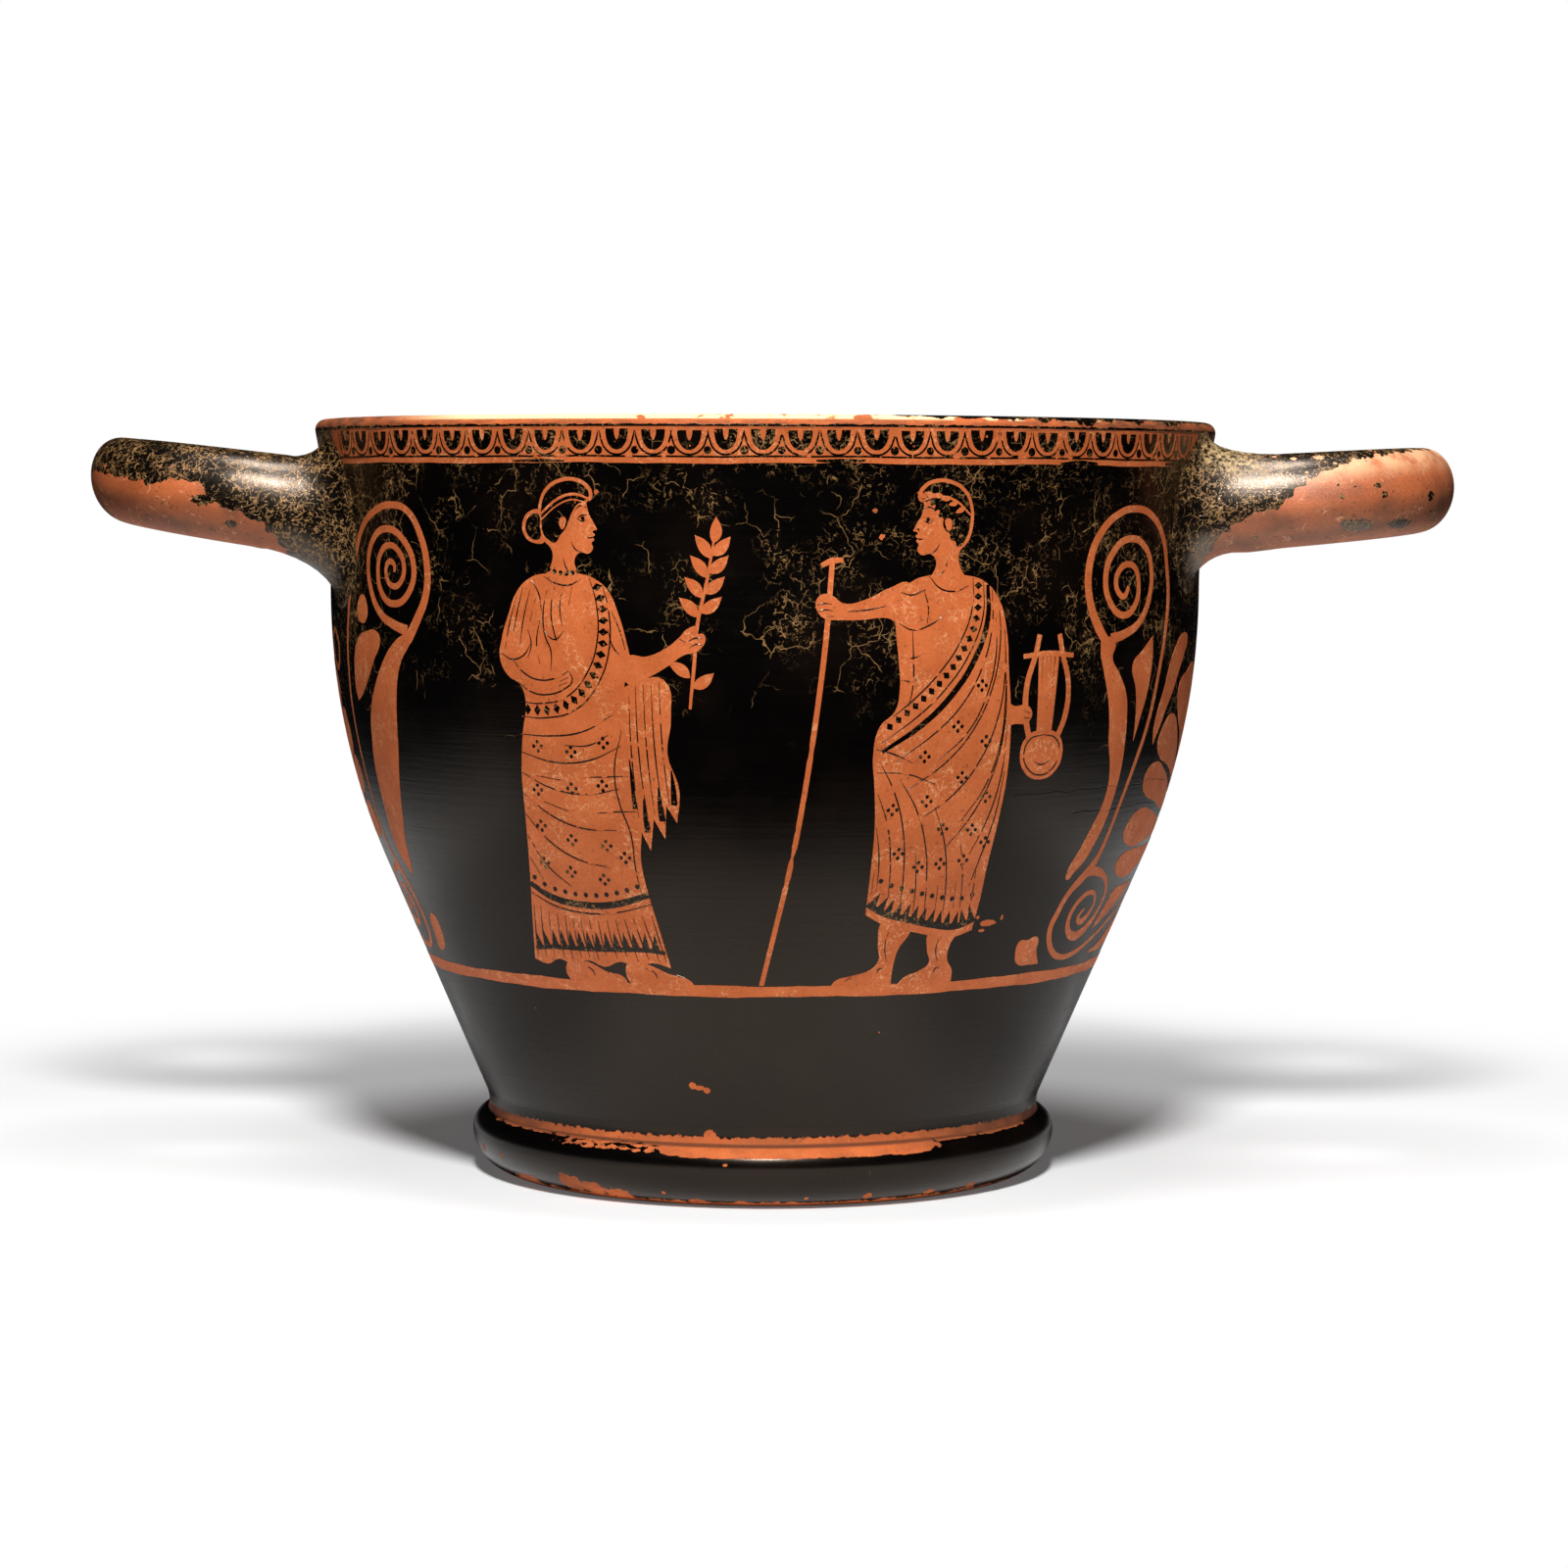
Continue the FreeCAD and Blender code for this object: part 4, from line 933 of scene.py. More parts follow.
LEFT_AREAS = [
    [(-49.2, 131.2), (-52, 130.4), (-54.6, 127.9), (-56.5, 125.1), (-58.7, 121.1), (-60.9, 116.6), (-62.8, 111.5),
    (-64, 105.9), (-65.1, 100.7), (-65.7, 95.6), (-66.2, 89.5), (-66.9, 84), (-67, 80.3), (-66.3, 77.1),
    (-64.6, 73.9, 1), (-63.4, 76.9), (-62.1, 82.2), (-60.3, 87.6), (-58.9, 93.1), (-57.5, 98.7), (-56.2, 104.4),
    (-55.4, 109.9), (-54.6, 115.4), (-53.6, 120.9), (-52.2, 125), (-50.4, 128.2)], [(-61.2, 131), (-58, 130.9),
    (-57.4, 129.2), (-59.6, 124.3), (-61.7, 120.4), (-64.6, 116.3), (-66.6, 114.6, 1), (-67.1, 117), (-66.8, 121),
    (-66, 125.6), (-64.1, 129.3)], [(-62.2, 139.4), (-63.6, 137.6), (-64, 134.6), (-62.6, 132.8), (-61, 134),
    (-60.9, 137.2)], [(-64.3, 64.2), (-62.4, 64.7), (-61.9, 62.3), (-62.8, 57.7), (-64.5, 56.1), (-66.2, 56),
    (-65.7, 60.1)],
]


def narrowed(shapes, middle, share):
    """The same shapes drawn narrower about a line down the wall."""
    return [[(middle + (turn - middle) * share, *rest) for turn, *rest in shape] for shape in shapes]


def mirrored(shapes, middle):
    return narrowed(shapes, middle, -1)


def clay_strokes(name, strokes):
    finish_painting(brush_lines(name, on_drawing(strokes), 1.5, 5, 0.8), CLAY)


def clay_areas(name, areas):
    finish_painting(painted_areas(name, on_drawing(areas)), CLAY)


LEFT_SHARE = 0.60  # how wide the left palmette is drawn, against the right one
half_right = PALMETTE[1:]
half_left = mirrored(narrowed(PALMETTE[:5], 90, LEFT_SHARE), 0)
clay_strokes("tendrils_right", RIGHT_STROKES + mirrored(RIGHT_STROKES, 90))
clay_areas("leaves_right", RIGHT_AREAS + mirrored(RIGHT_AREAS, 90))
clay_areas("palmette_right", HEART + PALMETTE[:1] + half_right + mirrored(half_right, 90))
clay_strokes("tendrils_left", LEFT_STROKES + mirrored(LEFT_STROKES, -90))
clay_areas("leaves_left", LEFT_AREAS + mirrored(LEFT_AREAS, -90))
clay_areas("palmette_left", mirrored(narrowed(HEART, 90, LEFT_SHARE), 0) + half_left + mirrored(half_left[1:], -90))


# Figures. Two on each side, a woman with a branch and a youth with a staff and a lyre in front, and two
# youths in cloaks behind: plain stock figures. Each is bare clay left in the black, with its hair and its
# borders filled in with a full brush and its folds drawn with the fine raised relief line.
# All face right, in millimetres: across from the figure's middle, and the height above the table.
HEAD = [
    (4.9, 160.9), (5, 159.4), (5.3, 158.2), (6.2, 156.6), (7.1, 154.9, 1), (6, 154.4), (6.5, 153.8), (5.9, 153.25, 1),
    (6.3, 152.7), (5.7, 152), (6, 150.9), (5, 149.7), (3, 149.9), (1.7, 148.8), (1.6, 147), (3.4, 144.2, 1),
    (-6.2, 144.2, 1), (-4.2, 147.4), (-4, 150.2), (-6.2, 152.8), (-7.2, 156.4), (-6.9, 160.6), (-5, 164), (-1.4, 166),
    (2.2, 166.2), (5, 165), (6.3, 162.9), (5.9, 161.4),
]
FACE_LINES = [
    [(2.5, 157.2), (3.5, 158), (4.8, 158)], [(2.6, 157.1), (3.6, 156.7), (4.5, 157)], [(2, 159.2), (3.4, 160.1),
    (4.9, 159.7)], [(6.2, 153.3), (5.4, 153.1), (4.7, 153.2)], [(6.5, 155.3), (5.9, 155.3), (5.7, 154.8)],
    [(3, 149.9), (1.6, 150.8), (0.8, 152.2)], [(-1.2, 148.6), (-0.6, 146.6), (0.8, 144.9)],
]
PUPIL = [(3.3, 157.4), (3.7, 157.8), (4.2, 157.5), (3.9, 156.9)]
EAR = [(-1.4, 157.6), (-0.4, 157.4), (-0.5, 156), (-1.2, 154.9), (-1.9, 155.6), (-1.9, 156.9)]
SHORT_HAIR = [
    (5.5, 162.4), (4.4, 161.2), (3.5, 161.6), (3.2, 160.4), (2.2, 160.7), (2.3, 159.4), (1.1, 159.5), (1.3, 158),
    (0.2, 157.8), (0.2, 156.4), (-0.5, 155), (-1.5, 154.4), (-1.8, 153), (-2.9, 152.7), (-3.5, 151.5), (-5.5, 153.3),
    (-6.4, 156.4), (-6.2, 160.4), (-4.5, 163.4), (-1.2, 165.2), (2, 165.4), (4.5, 164.3),
]
LONG_HAIR = [
    (5.5, 162.4), (4, 161), (2.6, 160.4), (1.6, 159.2), (0.8, 157.8), (0.2, 156.4), (-0.6, 155), (-1.8, 153.7),
    (-3.2, 152), (-4.7, 152.6), (-6.1, 154), (-6.4, 156.6), (-6.2, 160.4), (-4.5, 163.4), (-1.2, 165.2), (2, 165.4),
    (4.5, 164.3),
]
HEADBANDS = [
    [(5.4, 161.6, 0.5), (2, 162.6, 0.6), (-2, 161.6, 0.6), (-6.6, 158.2, 0.5)], [(4.2, 160.9, 0.3),
    (1.6, 161.4, 0.35), (-2, 160.3, 0.35), (-6.6, 156.9, 0.3)],
]
WREATH = [[(5.6, 161.4, 0.4), (1.6, 162.4, 0.5), (-2.8, 161.4, 0.5), (-6.4, 158.4, 0.4)]]
WREATH_LEAVES = [
    (4.2, 162.2, 60), (2.4, 162.6, 70), (0.4, 162.6, 80), (-1.6, 162.2, 92), (-3.4, 161.4, 104), (-5, 160.2, 116),
]
BUN = [(-5.6, 152.4), (-8.2, 151.8), (-10.9, 153.4), (-11.3, 156.4), (-9.4, 158.8), (-6.6, 158.9)]
BUN_HAIR = [(-6.9, 153), (-8.3, 152.6), (-10.2, 153.9), (-10.5, 156.1), (-9, 158), (-7.1, 158.2), (-6.9, 155.6)]

WOMAN = [
    [(-6, 145.2), (-9.8, 144.2), (-13.2, 141.2), (-15.6, 136), (-17.6, 130.4), (-18.2, 126.4), (-16.2, 122.6),
    (-13, 120.6), (-11.8, 117), (-13.2, 110), (-14.6, 101), (-15.2, 91), (-16.4, 80), (-18.6, 68), (-20.6, 57.4, 1),
    (-17, 56.4), (-13.4, 57.8), (-9.6, 56.5), (-5.6, 57.9), (-1.6, 56.6), (2.6, 58), (6.6, 56.8), (10.2, 58),
    (14.4, 56.9, 1), (13.4, 66), (12.4, 75), (12.2, 82), (13.4, 89), (13, 97), (12, 105), (11.6, 112), (12.2, 118),
    (13, 122.2), (14.2, 126), (13.4, 131), (11.6, 137), (9.4, 141.6), (6.2, 144.2), (3, 145.2)], [(11.4, 119.4),
    (15.4, 121.6), (21.6, 122.4), (22.8, 114), (21.4, 106), (23.2, 98), (21.8, 90.6, 1), (19.9, 94.4, 1),
    (18.6, 87, 1), (16.6, 91.4, 1), (14.9, 84.2, 1), (13, 89.4, 1), (11, 104)], [(13.4, 127.2), (18, 127.4),
    (22.6, 129.4), (25.4, 131.6), (27.4, 133.6), (29.4, 133.9), (29, 132.6), (30.8, 132.4), (31.2, 131.2),
    (30.6, 129.8), (29.2, 128.6), (26.4, 127.8), (22.8, 125.4), (18.6, 123), (13.6, 121.2)], [(-10.6, 57.6),
    (-5.4, 57.4), (-1.6, 55.6), (2.6, 54.4), (3.4, 53, 1), (-11.4, 53, 1), (-12.2, 55)], [(4.4, 57.8), (9.6, 57.4),
    (13.6, 55.6), (18.2, 54.2), (19, 53, 1), (4, 53, 1), (3.4, 55.2)], BUN,
]
WOMAN_LINES = [
    # neck of the dress, sleeve and hanging arm
    [(-6.2, 144.6), (-3.4, 143.2), (0.2, 142.8), (3.4, 144.4)], [(-9.4, 143.8), (-7.4, 140.6), (-6.8, 136.8)],
    [(-10.4, 133), (-9.6, 129.6), (-10.6, 126.6)], [(-17.6, 127.4), (-14.8, 126.2), (-11.4, 127.4), (-9.9, 129.6)],
    [(-14.6, 126.2), (-12, 123.4), (-8, 121.8), (-3.4, 122.4), (-0.4, 123.9)], [(-13.6, 121.2), (-9.6, 118.9),
    (-5.2, 118.7), (-1.2, 120.2), (0.4, 121.8), (-0.3, 123.9)], [(-0.5, 122.6), (-2.6, 121.6)], [(-0.9, 121.4),
    (-3, 120.6)],
    # sleeve folds
    [(-11.6, 142.2), (-13.2, 136.4), (-14.6, 130.2)], [(-9.8, 141.6), (-11.4, 135.6), (-12.6, 129.4)], [(-8.4, 139.6),
    (-9.8, 134.6)], [(-13.4, 139.8), (-15.4, 133.6), (-16.6, 128.4)], [(13.2, 128.8), (12.2, 132.6), (10, 137.6)],
    [(13.9, 126.6), (10.8, 128.8), (9.2, 133.4)],
    # dress over the breast
    [(-5.4, 141.6), (-6.4, 136.6), (-6, 131.6), (-4.6, 128.2), (-4.8, 124)], [(-3.4, 142.6), (-4.4, 137.4),
    (-3.6, 132), (-2.2, 128.2)], [(-1.4, 142.5), (-2.2, 137.8), (-1.6, 133.8)], [(0.8, 142.4), (0, 138.4)],
    [(-7.2, 135.2), (-8.2, 130.2), (-7.6, 125.4)], [(-6.2, 132.6), (-3.6, 130.8), (-1.2, 132.8)],
    # the cloak's rolled edge, from the hip over the shoulder
    [(-12.9, 116.8), (-7.6, 116.6), (-1.2, 118.2), (4.2, 123.8), (6.8, 131), (6.6, 139), (5, 144.4)], [(-13, 113.6),
    (-7, 113.4), (0.8, 115.4), (6.8, 121.6), (9.6, 129.6), (9.4, 138), (8, 142.8)],
    # the cloak's folds
    [(-13.6, 109.6), (-6.4, 109.4), (2.2, 110.6), (9.4, 114.4)], [(-14, 105.6), (-6, 103.6), (3, 104.2), (11, 107.6)],
    [(-14.4, 101), (-7, 97.6), (2.2, 96.6), (9.4, 98)], [(-14.8, 96.4), (-8.4, 91.6), (-0.6, 88.8), (7.6, 88.6)],
    [(-15, 91.6), (-10, 85.8), (-3, 81.6), (4.6, 80)], [(-15.4, 86.6), (-11.4, 79.8), (-6, 75.2)], [(-15.8, 81.6),
    (-13.2, 76.6)], [(12.2, 101), (6.4, 100.6), (1, 100.4)], [(12.9, 93), (8, 92.8), (3.6, 92.4)], [(11.4, 111),
    (8.8, 102), (9.2, 94.4), (10.8, 88), (10.6, 80), (10.9, 73.6)], [(-2.6, 107.4), (3.4, 107.6), (8.2, 110)],
    [(-10.6, 100.4), (-4.6, 99.6)], [(-9.6, 94.6), (-3.6, 92.6)],
    # the cloak's lower edge
    [(-17.5, 73.4), (-12, 70.6), (-5, 69.2), (3, 69.4), (12.8, 71.8)],
    # folds of the dress below
    [(-17.4, 70.6), (-18.6, 63.6), (-19.4, 58.2)], [(-15.6, 70.2), (-16.6, 63.6), (-17, 58)], [(-13.6, 69.2),
    (-14.4, 63), (-14.6, 58.6)], [(-11.4, 68.6), (-12, 62.6), (-11.9, 58.4)], [(-9.4, 68.2), (-9.8, 62.6),
    (-9.6, 58)], [(-7.4, 67.8), (-7.6, 62.6), (-7.2, 58.4)], [(-5.4, 67.6), (-5.4, 62.6), (-5, 58.6)], [(-3.2, 67.5),
    (-3.2, 62.4), (-2.8, 58.2)], [(-1, 67.5), (-1, 62.4), (-0.6, 58.4)], [(1.2, 67.6), (1.4, 62.6), (2, 58.8)],
    [(3.4, 67.8), (3.8, 62.6), (4.6, 58.6)], [(5.6, 68.1), (6.2, 63), (7, 58.2)], [(7.8, 68.4), (8.6, 63.2),
    (9.6, 58.8)], [(10, 68.9), (11, 63.2), (12, 58.4)], [(12.2, 69.4), (12.9, 63.4), (13.6, 58.2)],
    # the hanging end of the cloak
    [(13.6, 118.6), (13.2, 105), (13.2, 91.6)], [(15.2, 120.8), (14.9, 106), (15.4, 88.6)], [(17, 121.2), (16.8, 106),
    (17, 92.6)], [(18.8, 121.6), (18.6, 107), (19, 90.4)], [(20.6, 121.8), (20.4, 108), (20.6, 94.6)],
    # feet and hand
    [(1.6, 54.6), (0, 55.2)], [(17.2, 54.8), (15.4, 55.4)], [(-7, 56.8), (-5, 55.6), (-4.6, 54.4)], [(8.4, 56.8),
    (10.4, 55.6), (10.8, 54.4)], [(27.6, 129.4), (29.2, 130.2), (30.4, 130)], [(27.4, 130.8), (29.2, 131.6),
    (30.4, 131.4)], [(25.4, 131.4), (26.8, 130.6)],
]
WOMAN_ROLL = [
    (-12.6, 115.2), (-7, 115), (-3.5, 115.7), (-0.2, 116.9), (2.7, 119.3), (5.4, 122.6), (7.2, 126.4), (8.1, 130.4),
    (8.3, 134.6), (8, 138.6), (6.4, 143.8),
]
WOMAN_HEM = [(-19.4, 60.2), (-14, 60.8), (-6, 60.8), (2, 61), (9, 61.2), (13.8, 60.6)]
WOMAN_BORDERS = [
    [(-17.2, 75.4, 1.4), (-12, 72.5, 1.6), (-5, 71.1, 1.6), (3, 71.3, 1.6), (12.5, 73.9, 1.4)], [(-19.5, 60, 1),
    (-14, 60.6, 1.1), (-6, 60.6, 1.1), (2, 60.8, 1.1), (9, 61, 1.1), (13.8, 60.4, 1)], [(14.9, 96, 0.4),
    (14.8, 91.6, 1.2), (14.9, 88.4, 1.6)], [(18.6, 98.6, 0.4), (18.5, 94, 1.3), (18.6, 91, 1.7)], [(21.9, 102.4, 0.4),
    (21.9, 98, 1.2), (21.7, 94.6, 1.6)], [(12.6, 104.6, 0.3), (12.7, 99, 0.9), (12.6, 93.6, 1.2)],
]
WOMAN_STARS = [
    (-9.6, 107), (-1.2, 106), (6.8, 108.2), (-10.8, 97.2), (-2, 97.8), (5.6, 98.6), (-11.2, 89), (-3.8, 86),
    (4.6, 85), (-12, 80.4), (-5.4, 78.6), (2.6, 77.2), (8.6, 82.4),
]
WOMAN_DOTS = [
    (-15.6, 76.9), (-13.2, 75.4), (-10.6, 74.4), (-8, 73.9), (-5.4, 73.5), (-2.8, 73.4), (-0.2, 73.4), (2.4, 73.7),
    (5, 74.2), (7.6, 74.9), (10.2, 75.8), (-4.9, 146.2), (-3.5, 145.7), (-2, 145.4), (-0.5, 145.3), (1, 145.5),
    (2.3, 145.9),
]
BRANCH = [[(27.2, 116, 0.7), (28.6, 126, 0.8), (29.4, 134, 0.8), (31.6, 144, 0.7), (33.2, 152.6, 0.5)]]
LEAF = [(0, 0, 1), (1.5, 1.5), (1.7, 3.4), (0.4, 6, 1), (-0.7, 3.4), (-0.7, 1.4)]
# Where each leaf of the branch grows, and its lean in degrees to the right.
BRANCH_LEAVES = [
    (27.9, 120.6, 52), (27.6, 122.8, -58), (30, 137, 50), (29.6, 136, -48), (30.8, 141.2, 48), (30.5, 140.2, -44),
    (31.8, 145.6, 46), (31.5, 144.6, -40), (32.6, 149.4, 42), (32.3, 148.8, -36), (33.1, 152, 4),
]

YOUTH = [
    [(-6, 145.2), (-10.6, 143.8), (-14.2, 140), (-16.4, 133), (-17.4, 124), (-18.8, 113), (-19.2, 101), (-18.4, 90),
    (-17.4, 80), (-17.2, 72), (-16.6, 65, 1), (-11.8, 63.6), (-6.2, 64.2), (0.8, 65.8), (6.6, 67.4), (10.8, 69.6, 1),
    (11.4, 80), (12, 90), (13.2, 99), (14.2, 106), (13.2, 112.2), (10, 115.6), (9.2, 120), (9.8, 127), (10.6, 133.2),
    (10.6, 139.6), (7.6, 143.6), (3.2, 145.2)], [(7.6, 143.6), (12, 142.6), (17.6, 140), (22.4, 139.2), (24.8, 140.8),
    (27, 141.2), (28.4, 139.8), (28.2, 137.6), (26.4, 135.8), (23.6, 135.6), (18.4, 135.6), (12.6, 136), (9, 134.6),
    (6, 138)], [(-0.4, 66.4), (6.2, 68), (6.6, 62.6), (5.8, 58.6), (7.4, 56.6), (11, 55.4), (15, 54.2), (15.8, 53, 1),
    (1.8, 53, 1), (2, 56.4), (1.6, 61)], [(-12.2, 64.4), (-5.6, 65), (-5.8, 60.6), (-6.8, 57.8), (-4.8, 56),
    (-1.6, 54.8), (0.2, 53, 1), (-13.6, 53, 1), (-13.2, 55.8), (-11.4, 58.4), (-11.4, 61.8)],
]
LYRE = [
    [(-28.4, 110.6), (-33, 109.4), (-34.8, 105.6), (-33.2, 101.2), (-28.6, 99.4), (-24, 101.2), (-22.2, 105.4),
    (-23.8, 109.4)], [(-17.6, 116.6), (-19.8, 116.2), (-22.4, 116.4), (-24.2, 115.4), (-24.4, 113.4), (-22.6, 112.2),
    (-19.6, 112.2), (-17.4, 111.4)],
]
LYRE_ARMS = [
    [(-32.2, 108, 1.6), (-34.6, 114, 1.6), (-34.8, 121, 1.5), (-32.6, 127.6, 1.4), (-31.4, 132, 1.5)],
    [(-24.6, 108, 1.6), (-22.8, 114, 1.6), (-22.6, 121, 1.5), (-24.6, 127.6, 1.4), (-25.6, 132, 1.5)],
    [(-36, 127.2, 1.2), (-28.5, 127.8, 1.2), (-21.2, 127.2, 1.2)],
]
LYRE_STRINGS = [[(x, 127.4), (x * 0.55 - 12.8, 104)] for x in (-31, -29.7, -28.5, -27.3, -26)]
LYRE_LINES = [
    [(-28.4, 109.6), (-32.2, 108.6), (-33.8, 105.6), (-32.4, 102), (-28.6, 100.4), (-24.8, 102), (-23.2, 105.4),
    (-24.6, 108.6), (-28.4, 109.6)], [(-31, 103.6), (-28.6, 102.8), (-26.2, 103.6)], [(-22.4, 115), (-24, 114.6)],
    [(-22.4, 113.6), (-24, 113.4)],
]
YOUTH_LINES = [
    # bare shoulder, chest and arm
    [(3, 145), (0.4, 142.4), (-3.4, 141.8), (-6.4, 143)], [(3.8, 142.2), (7.2, 141), (9.6, 141.6)], [(10.2, 135),
    (6.8, 133.4), (2.4, 134.6), (-0.6, 136.6)], [(4.2, 142), (3.2, 138.4), (3.4, 134.8)], [(9.4, 127.6), (6.6, 127.2),
    (4.2, 128.2)], [(9, 122.4), (6.6, 122.2), (4.8, 123)], [(6.8, 133.2), (6.4, 127.4), (6.2, 121), (7, 116.4)],
    [(12.8, 138.6), (17, 137.8), (21.6, 137.4)], [(25, 139), (27, 139.2), (28.2, 138.8)], [(24.8, 137.6),
    (26.8, 137.8), (28, 137.4)], [(24.4, 136.4), (26.2, 136.4)],
    # the cloak's rolled edge, from the shoulder down over the breast to the hip
    [(-7.6, 144.6), (-7.4, 138), (-4.6, 130.6), (0.4, 123.6), (6.2, 117.8), (12.2, 113)], [(-10.2, 143.8),
    (-10.2, 136.6), (-7.2, 128.4), (-1.8, 120.6), (4.6, 114.4), (12.6, 108.6)],
    # the cloak's folds
    [(-12.4, 142.2), (-12.6, 134.6), (-10.6, 125.6), (-6, 117), (0, 110.8), (8.6, 104.6)], [(-14.2, 139.2),
    (-14.8, 131), (-13.4, 121), (-9.4, 111.6), (-3, 104), (5.6, 98)], [(-15.8, 133.6), (-16.4, 124), (-15.2, 113.6),
    (-11.4, 104), (-5.6, 96.6), (1.6, 91.4)], [(-17, 122), (-17.2, 112), (-15.4, 101.4), (-11.4, 92.4), (-5.8, 85)],
    [(-17.9, 112), (-17.6, 101), (-15.6, 91.6), (-12, 83)], [(-18.3, 101.6), (-17.3, 91.6), (-15.2, 82.6),
    (-13.4, 75.6)], [(12.6, 104.6), (8.4, 97.4), (5.2, 88.6), (3.6, 79), (3, 71.2)], [(12.2, 97.2), (9.2, 90.4),
    (7.2, 82), (6.2, 73.2)], [(11.6, 89.6), (10, 83), (9.2, 75)], [(7.6, 100.6), (2.6, 93.2), (-0.8, 84.6),
    (-2.6, 75), (-3.2, 69.6)], [(-1.6, 94), (-5.2, 85.8), (-7.2, 77), (-8, 69.2)], [(-8.6, 87.6), (-11, 79.2),
    (-12.2, 70.4)], [(-16.2, 128.4), (-16.9, 117.6), (-16.4, 107.6), (-13.6, 98.4), (-8.6, 90.8)], [(-13.4, 136),
    (-13.8, 128), (-11.8, 118.4), (-7.6, 110.4), (-1.4, 104.8)], [(4.8, 104), (9.8, 106.2), (13.6, 107.2)],
    [(-1, 99.2), (6, 101.6), (12.9, 102)], [(10.6, 79.4), (10.2, 73.4)], [(1.6, 84), (0.2, 76.4), (-0.4, 70.2)],
    [(-5.4, 76), (-5.8, 69.6)], [(-14.4, 80.2), (-14.8, 73.6), (-14.6, 69.6)], [(-9.8, 76.4), (-10.4, 70.4)],
    # legs
    [(4.6, 65.6), (4.8, 61.8), (3.8, 58.4)], [(-8.2, 63.4), (-8, 60.4), (-9, 58)], [(4.4, 57), (5.4, 56.6),
    (5.6, 55.8)], [(-9.6, 56.6), (-8.6, 56.2), (-8.4, 55.4)], [(12.8, 54.2), (11.4, 55)], [(-2.6, 54.2), (-3.8, 55)],
]
YOUTH_ROLL = [
    (-8.9, 144.2), (-8.8, 137.2), (-7.8, 133.4), (-5.9, 129.6), (-3.6, 125.8), (-0.7, 122.2), (5.4, 116.6),
    (12.6, 110.9),
]
YOUTH_HEM = [(-16.8, 67.8), (-11.8, 66.3), (-6.2, 66.9), (0.8, 68.5), (6.6, 70.1), (10.8, 72.2)]
YOUTH_BORDERS = [
    [(-16.8, 67.6, 1.3), (-11.8, 66.1, 1.5), (-6.2, 66.7, 1.5), (0.8, 68.3, 1.5), (6.6, 69.9, 1.5), (10.8, 72, 1.3)],
    [(-11.3, 143.2, 0.9), (-11.4, 135.8, 1.3), (-8.6, 127.2, 1.4), (-3.2, 119, 1.4), (3.6, 112.4, 1.3),
    (12.2, 106.6, 0.9)],
]
YOUTH_STARS = [
    (-10.6, 121), (-5.2, 112), (2.2, 105.4), (-12.6, 108.6), (-7.4, 100.6), (0.6, 95.4), (-14.2, 96), (-11.6, 88.6),
    (-4.2, 89), (8.4, 93.6), (5.6, 83.6), (0.4, 80.4), (-4.9, 81), (-10.6, 81.6), (-15.6, 85.6),
]
YOUTH_DOTS = [
    (-14.8, 73.4), (-12.2, 72.7), (-9.6, 72.7), (-7, 73.1), (-4.4, 73.6), (-1.8, 74.2), (0.8, 74.9), (3.4, 75.6),
    (6, 76.3), (8.6, 77.4),
]
STAFF = [
    [(31.4, 53.2, 1.2), (29.6, 80, 1.2), (27.8, 110, 1.2), (25.8, 136, 1.2), (25, 148, 1.3)], [(22.6, 148.6, 1.1),
    (25, 148.4, 1.4), (27.4, 147.4, 1.1)],
]

CLAY_ON_BLACK = ((0.13, 0.10, 0.0), CLAY[1])


def faced(shapes, left):
    """The same drawing, turned to face left where asked."""
    return [[(-x if left else x, *rest) for x, *rest in shape] for shape in shapes]


def dots(places, size=0.55):
    return [ring_of(place, size) for place in places]


def stars(places):
    return dots([spot for place in places for spot in ring_of(place, 1.0)], 0.42)


def leaves(places, size):
    shapes = []
    for x, y, lean in places:
        cos, sin = size * math.cos(math.radians(lean)), size * math.sin(math.radians(lean))
        shapes.append([(x + a * cos + b * sin, y + b * cos - a * sin, *rest) for a, b, *rest in LEAF])
    return shapes


def teeth_along(line, gap, wide, up, down=0.0):
    """A woven border along a line: triangles that stand on it, or lozenges where they reach below it too."""
    teeth, left = [], gap / 2
    for (x, y), (next_x, next_y) in zip(line, line[1:]):
        run = math.hypot(next_x - x, next_y - y)
        along = ((next_x - x) / run, (next_y - y) / run)
        while left < run:
            middle = (x + along[0] * left, y + along[1] * left)
            tooth = [(-wide / 2, 0), (0, -down), (wide / 2, 0), (0, up)]
            teeth.append([
                (middle[0] + a * along[0] - b * along[1], middle[1] + a * along[1] + b * along[0], "corner")
                for a, b in (tooth if down else tooth[:1] + tooth[2:])
            ])
            left += gap
        left -= run
    return teeth


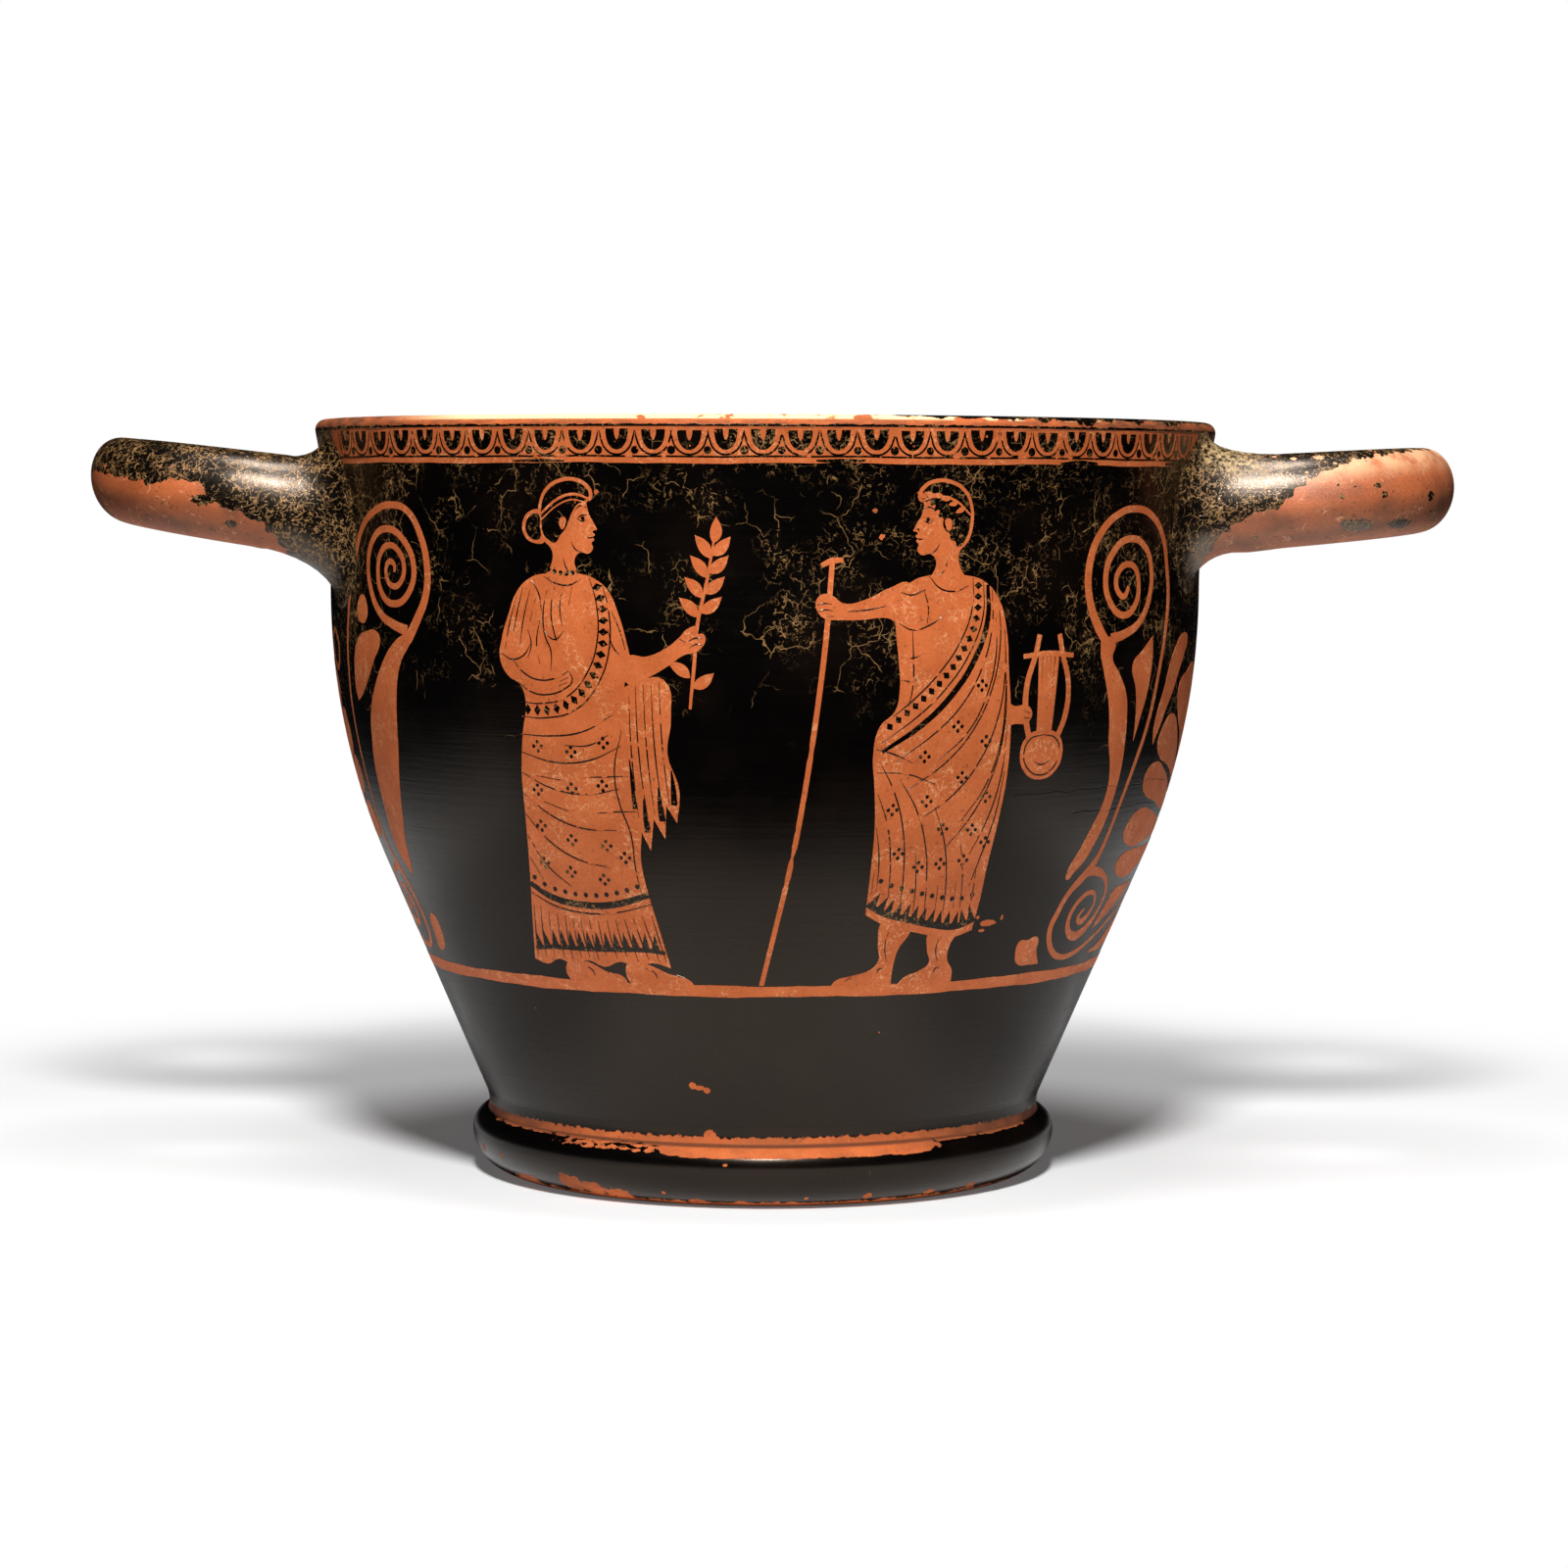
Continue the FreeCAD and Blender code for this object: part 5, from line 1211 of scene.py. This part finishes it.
def paint_figure(name, turn, left, areas, strokes, blacks, borders, lines, over_areas, over_strokes):
    grounds = [painted_areas(name + "_clay", faced([area], left)) for area in areas]
    grounds.append(brush_lines(name + "_strokes", faced(strokes, left), 1.2, 5, 0.9))
    finish_painting(join_up(name + "_clay", grounds), CLAY, turn)
    finish_painting(painted_areas(name + "_black", faced(blacks, left), 3), FULL_BRUSH, turn)
    finish_painting(brush_lines(name + "_borders", faced(borders, left), 1.0, 5, 0.9), FULL_BRUSH, turn)
    finish_painting(brush_lines(name + "_lines", faced(lines, left), 0.34, 5), RELIEF_LINE, turn)
    over = [painted_areas(name + "_details", faced([area], left), 3) for area in over_areas]
    over.append(brush_lines(name + "_details", faced(over_strokes, left), 0.4, 4, 0.9))
    finish_painting(join_up(name + "_details", over), CLAY_ON_BLACK, turn)


def paint_woman(name, turn, left):
    borders = teeth_along(WOMAN_ROLL, 2.5, 1.7, 1.25, 1.25) + teeth_along(WOMAN_HEM, 2.3, 2.0, 4.0)
    paint_figure(
        name, turn, left, [HEAD, *WOMAN], BRANCH,
        [LONG_HAIR, BUN_HAIR, PUPIL] + dots(WOMAN_DOTS) + stars(WOMAN_STARS) + borders,
        WOMAN_BORDERS, FACE_LINES + WOMAN_LINES, [EAR], HEADBANDS,
    )
    finish_painting(painted_areas(name + "_branch", faced(leaves(BRANCH_LEAVES, 1.0), left)), CLAY, turn)


def paint_youth(name, turn, left, with_staff, with_lyre):
    areas, strokes, lines = [HEAD, *YOUTH], [], FACE_LINES + YOUTH_LINES
    if with_lyre:
        areas, strokes, lines = areas + LYRE, LYRE_ARMS + LYRE_STRINGS, lines + LYRE_LINES
    if with_staff:
        strokes = strokes + STAFF
    else:
        areas, strokes = areas + [ring_of((26.4, 127.6), 3.1, 8)], strokes + [[(26.4, 136.0, 0.5), (26.6, 130.0, 0.5)]]
    borders = teeth_along(YOUTH_ROLL, 2.4, 1.6, 1.0, 1.0) + teeth_along(YOUTH_HEM, 2.2, 1.9, 3.4)
    paint_figure(
        name, turn, left, areas, strokes, [SHORT_HAIR, PUPIL] + dots(YOUTH_DOTS) + stars(YOUTH_STARS) + borders,
        YOUTH_BORDERS, lines, [EAR] + leaves(WREATH_LEAVES, 0.45), WREATH,
    )


paint_woman("woman_with_branch", -24.0, False)
paint_youth("youth_with_lyre", 22.0, True, True, True)
paint_youth("youth_with_staff", 158.0, False, True, False)
paint_youth("youth_with_flask", 202.0, True, False, False)
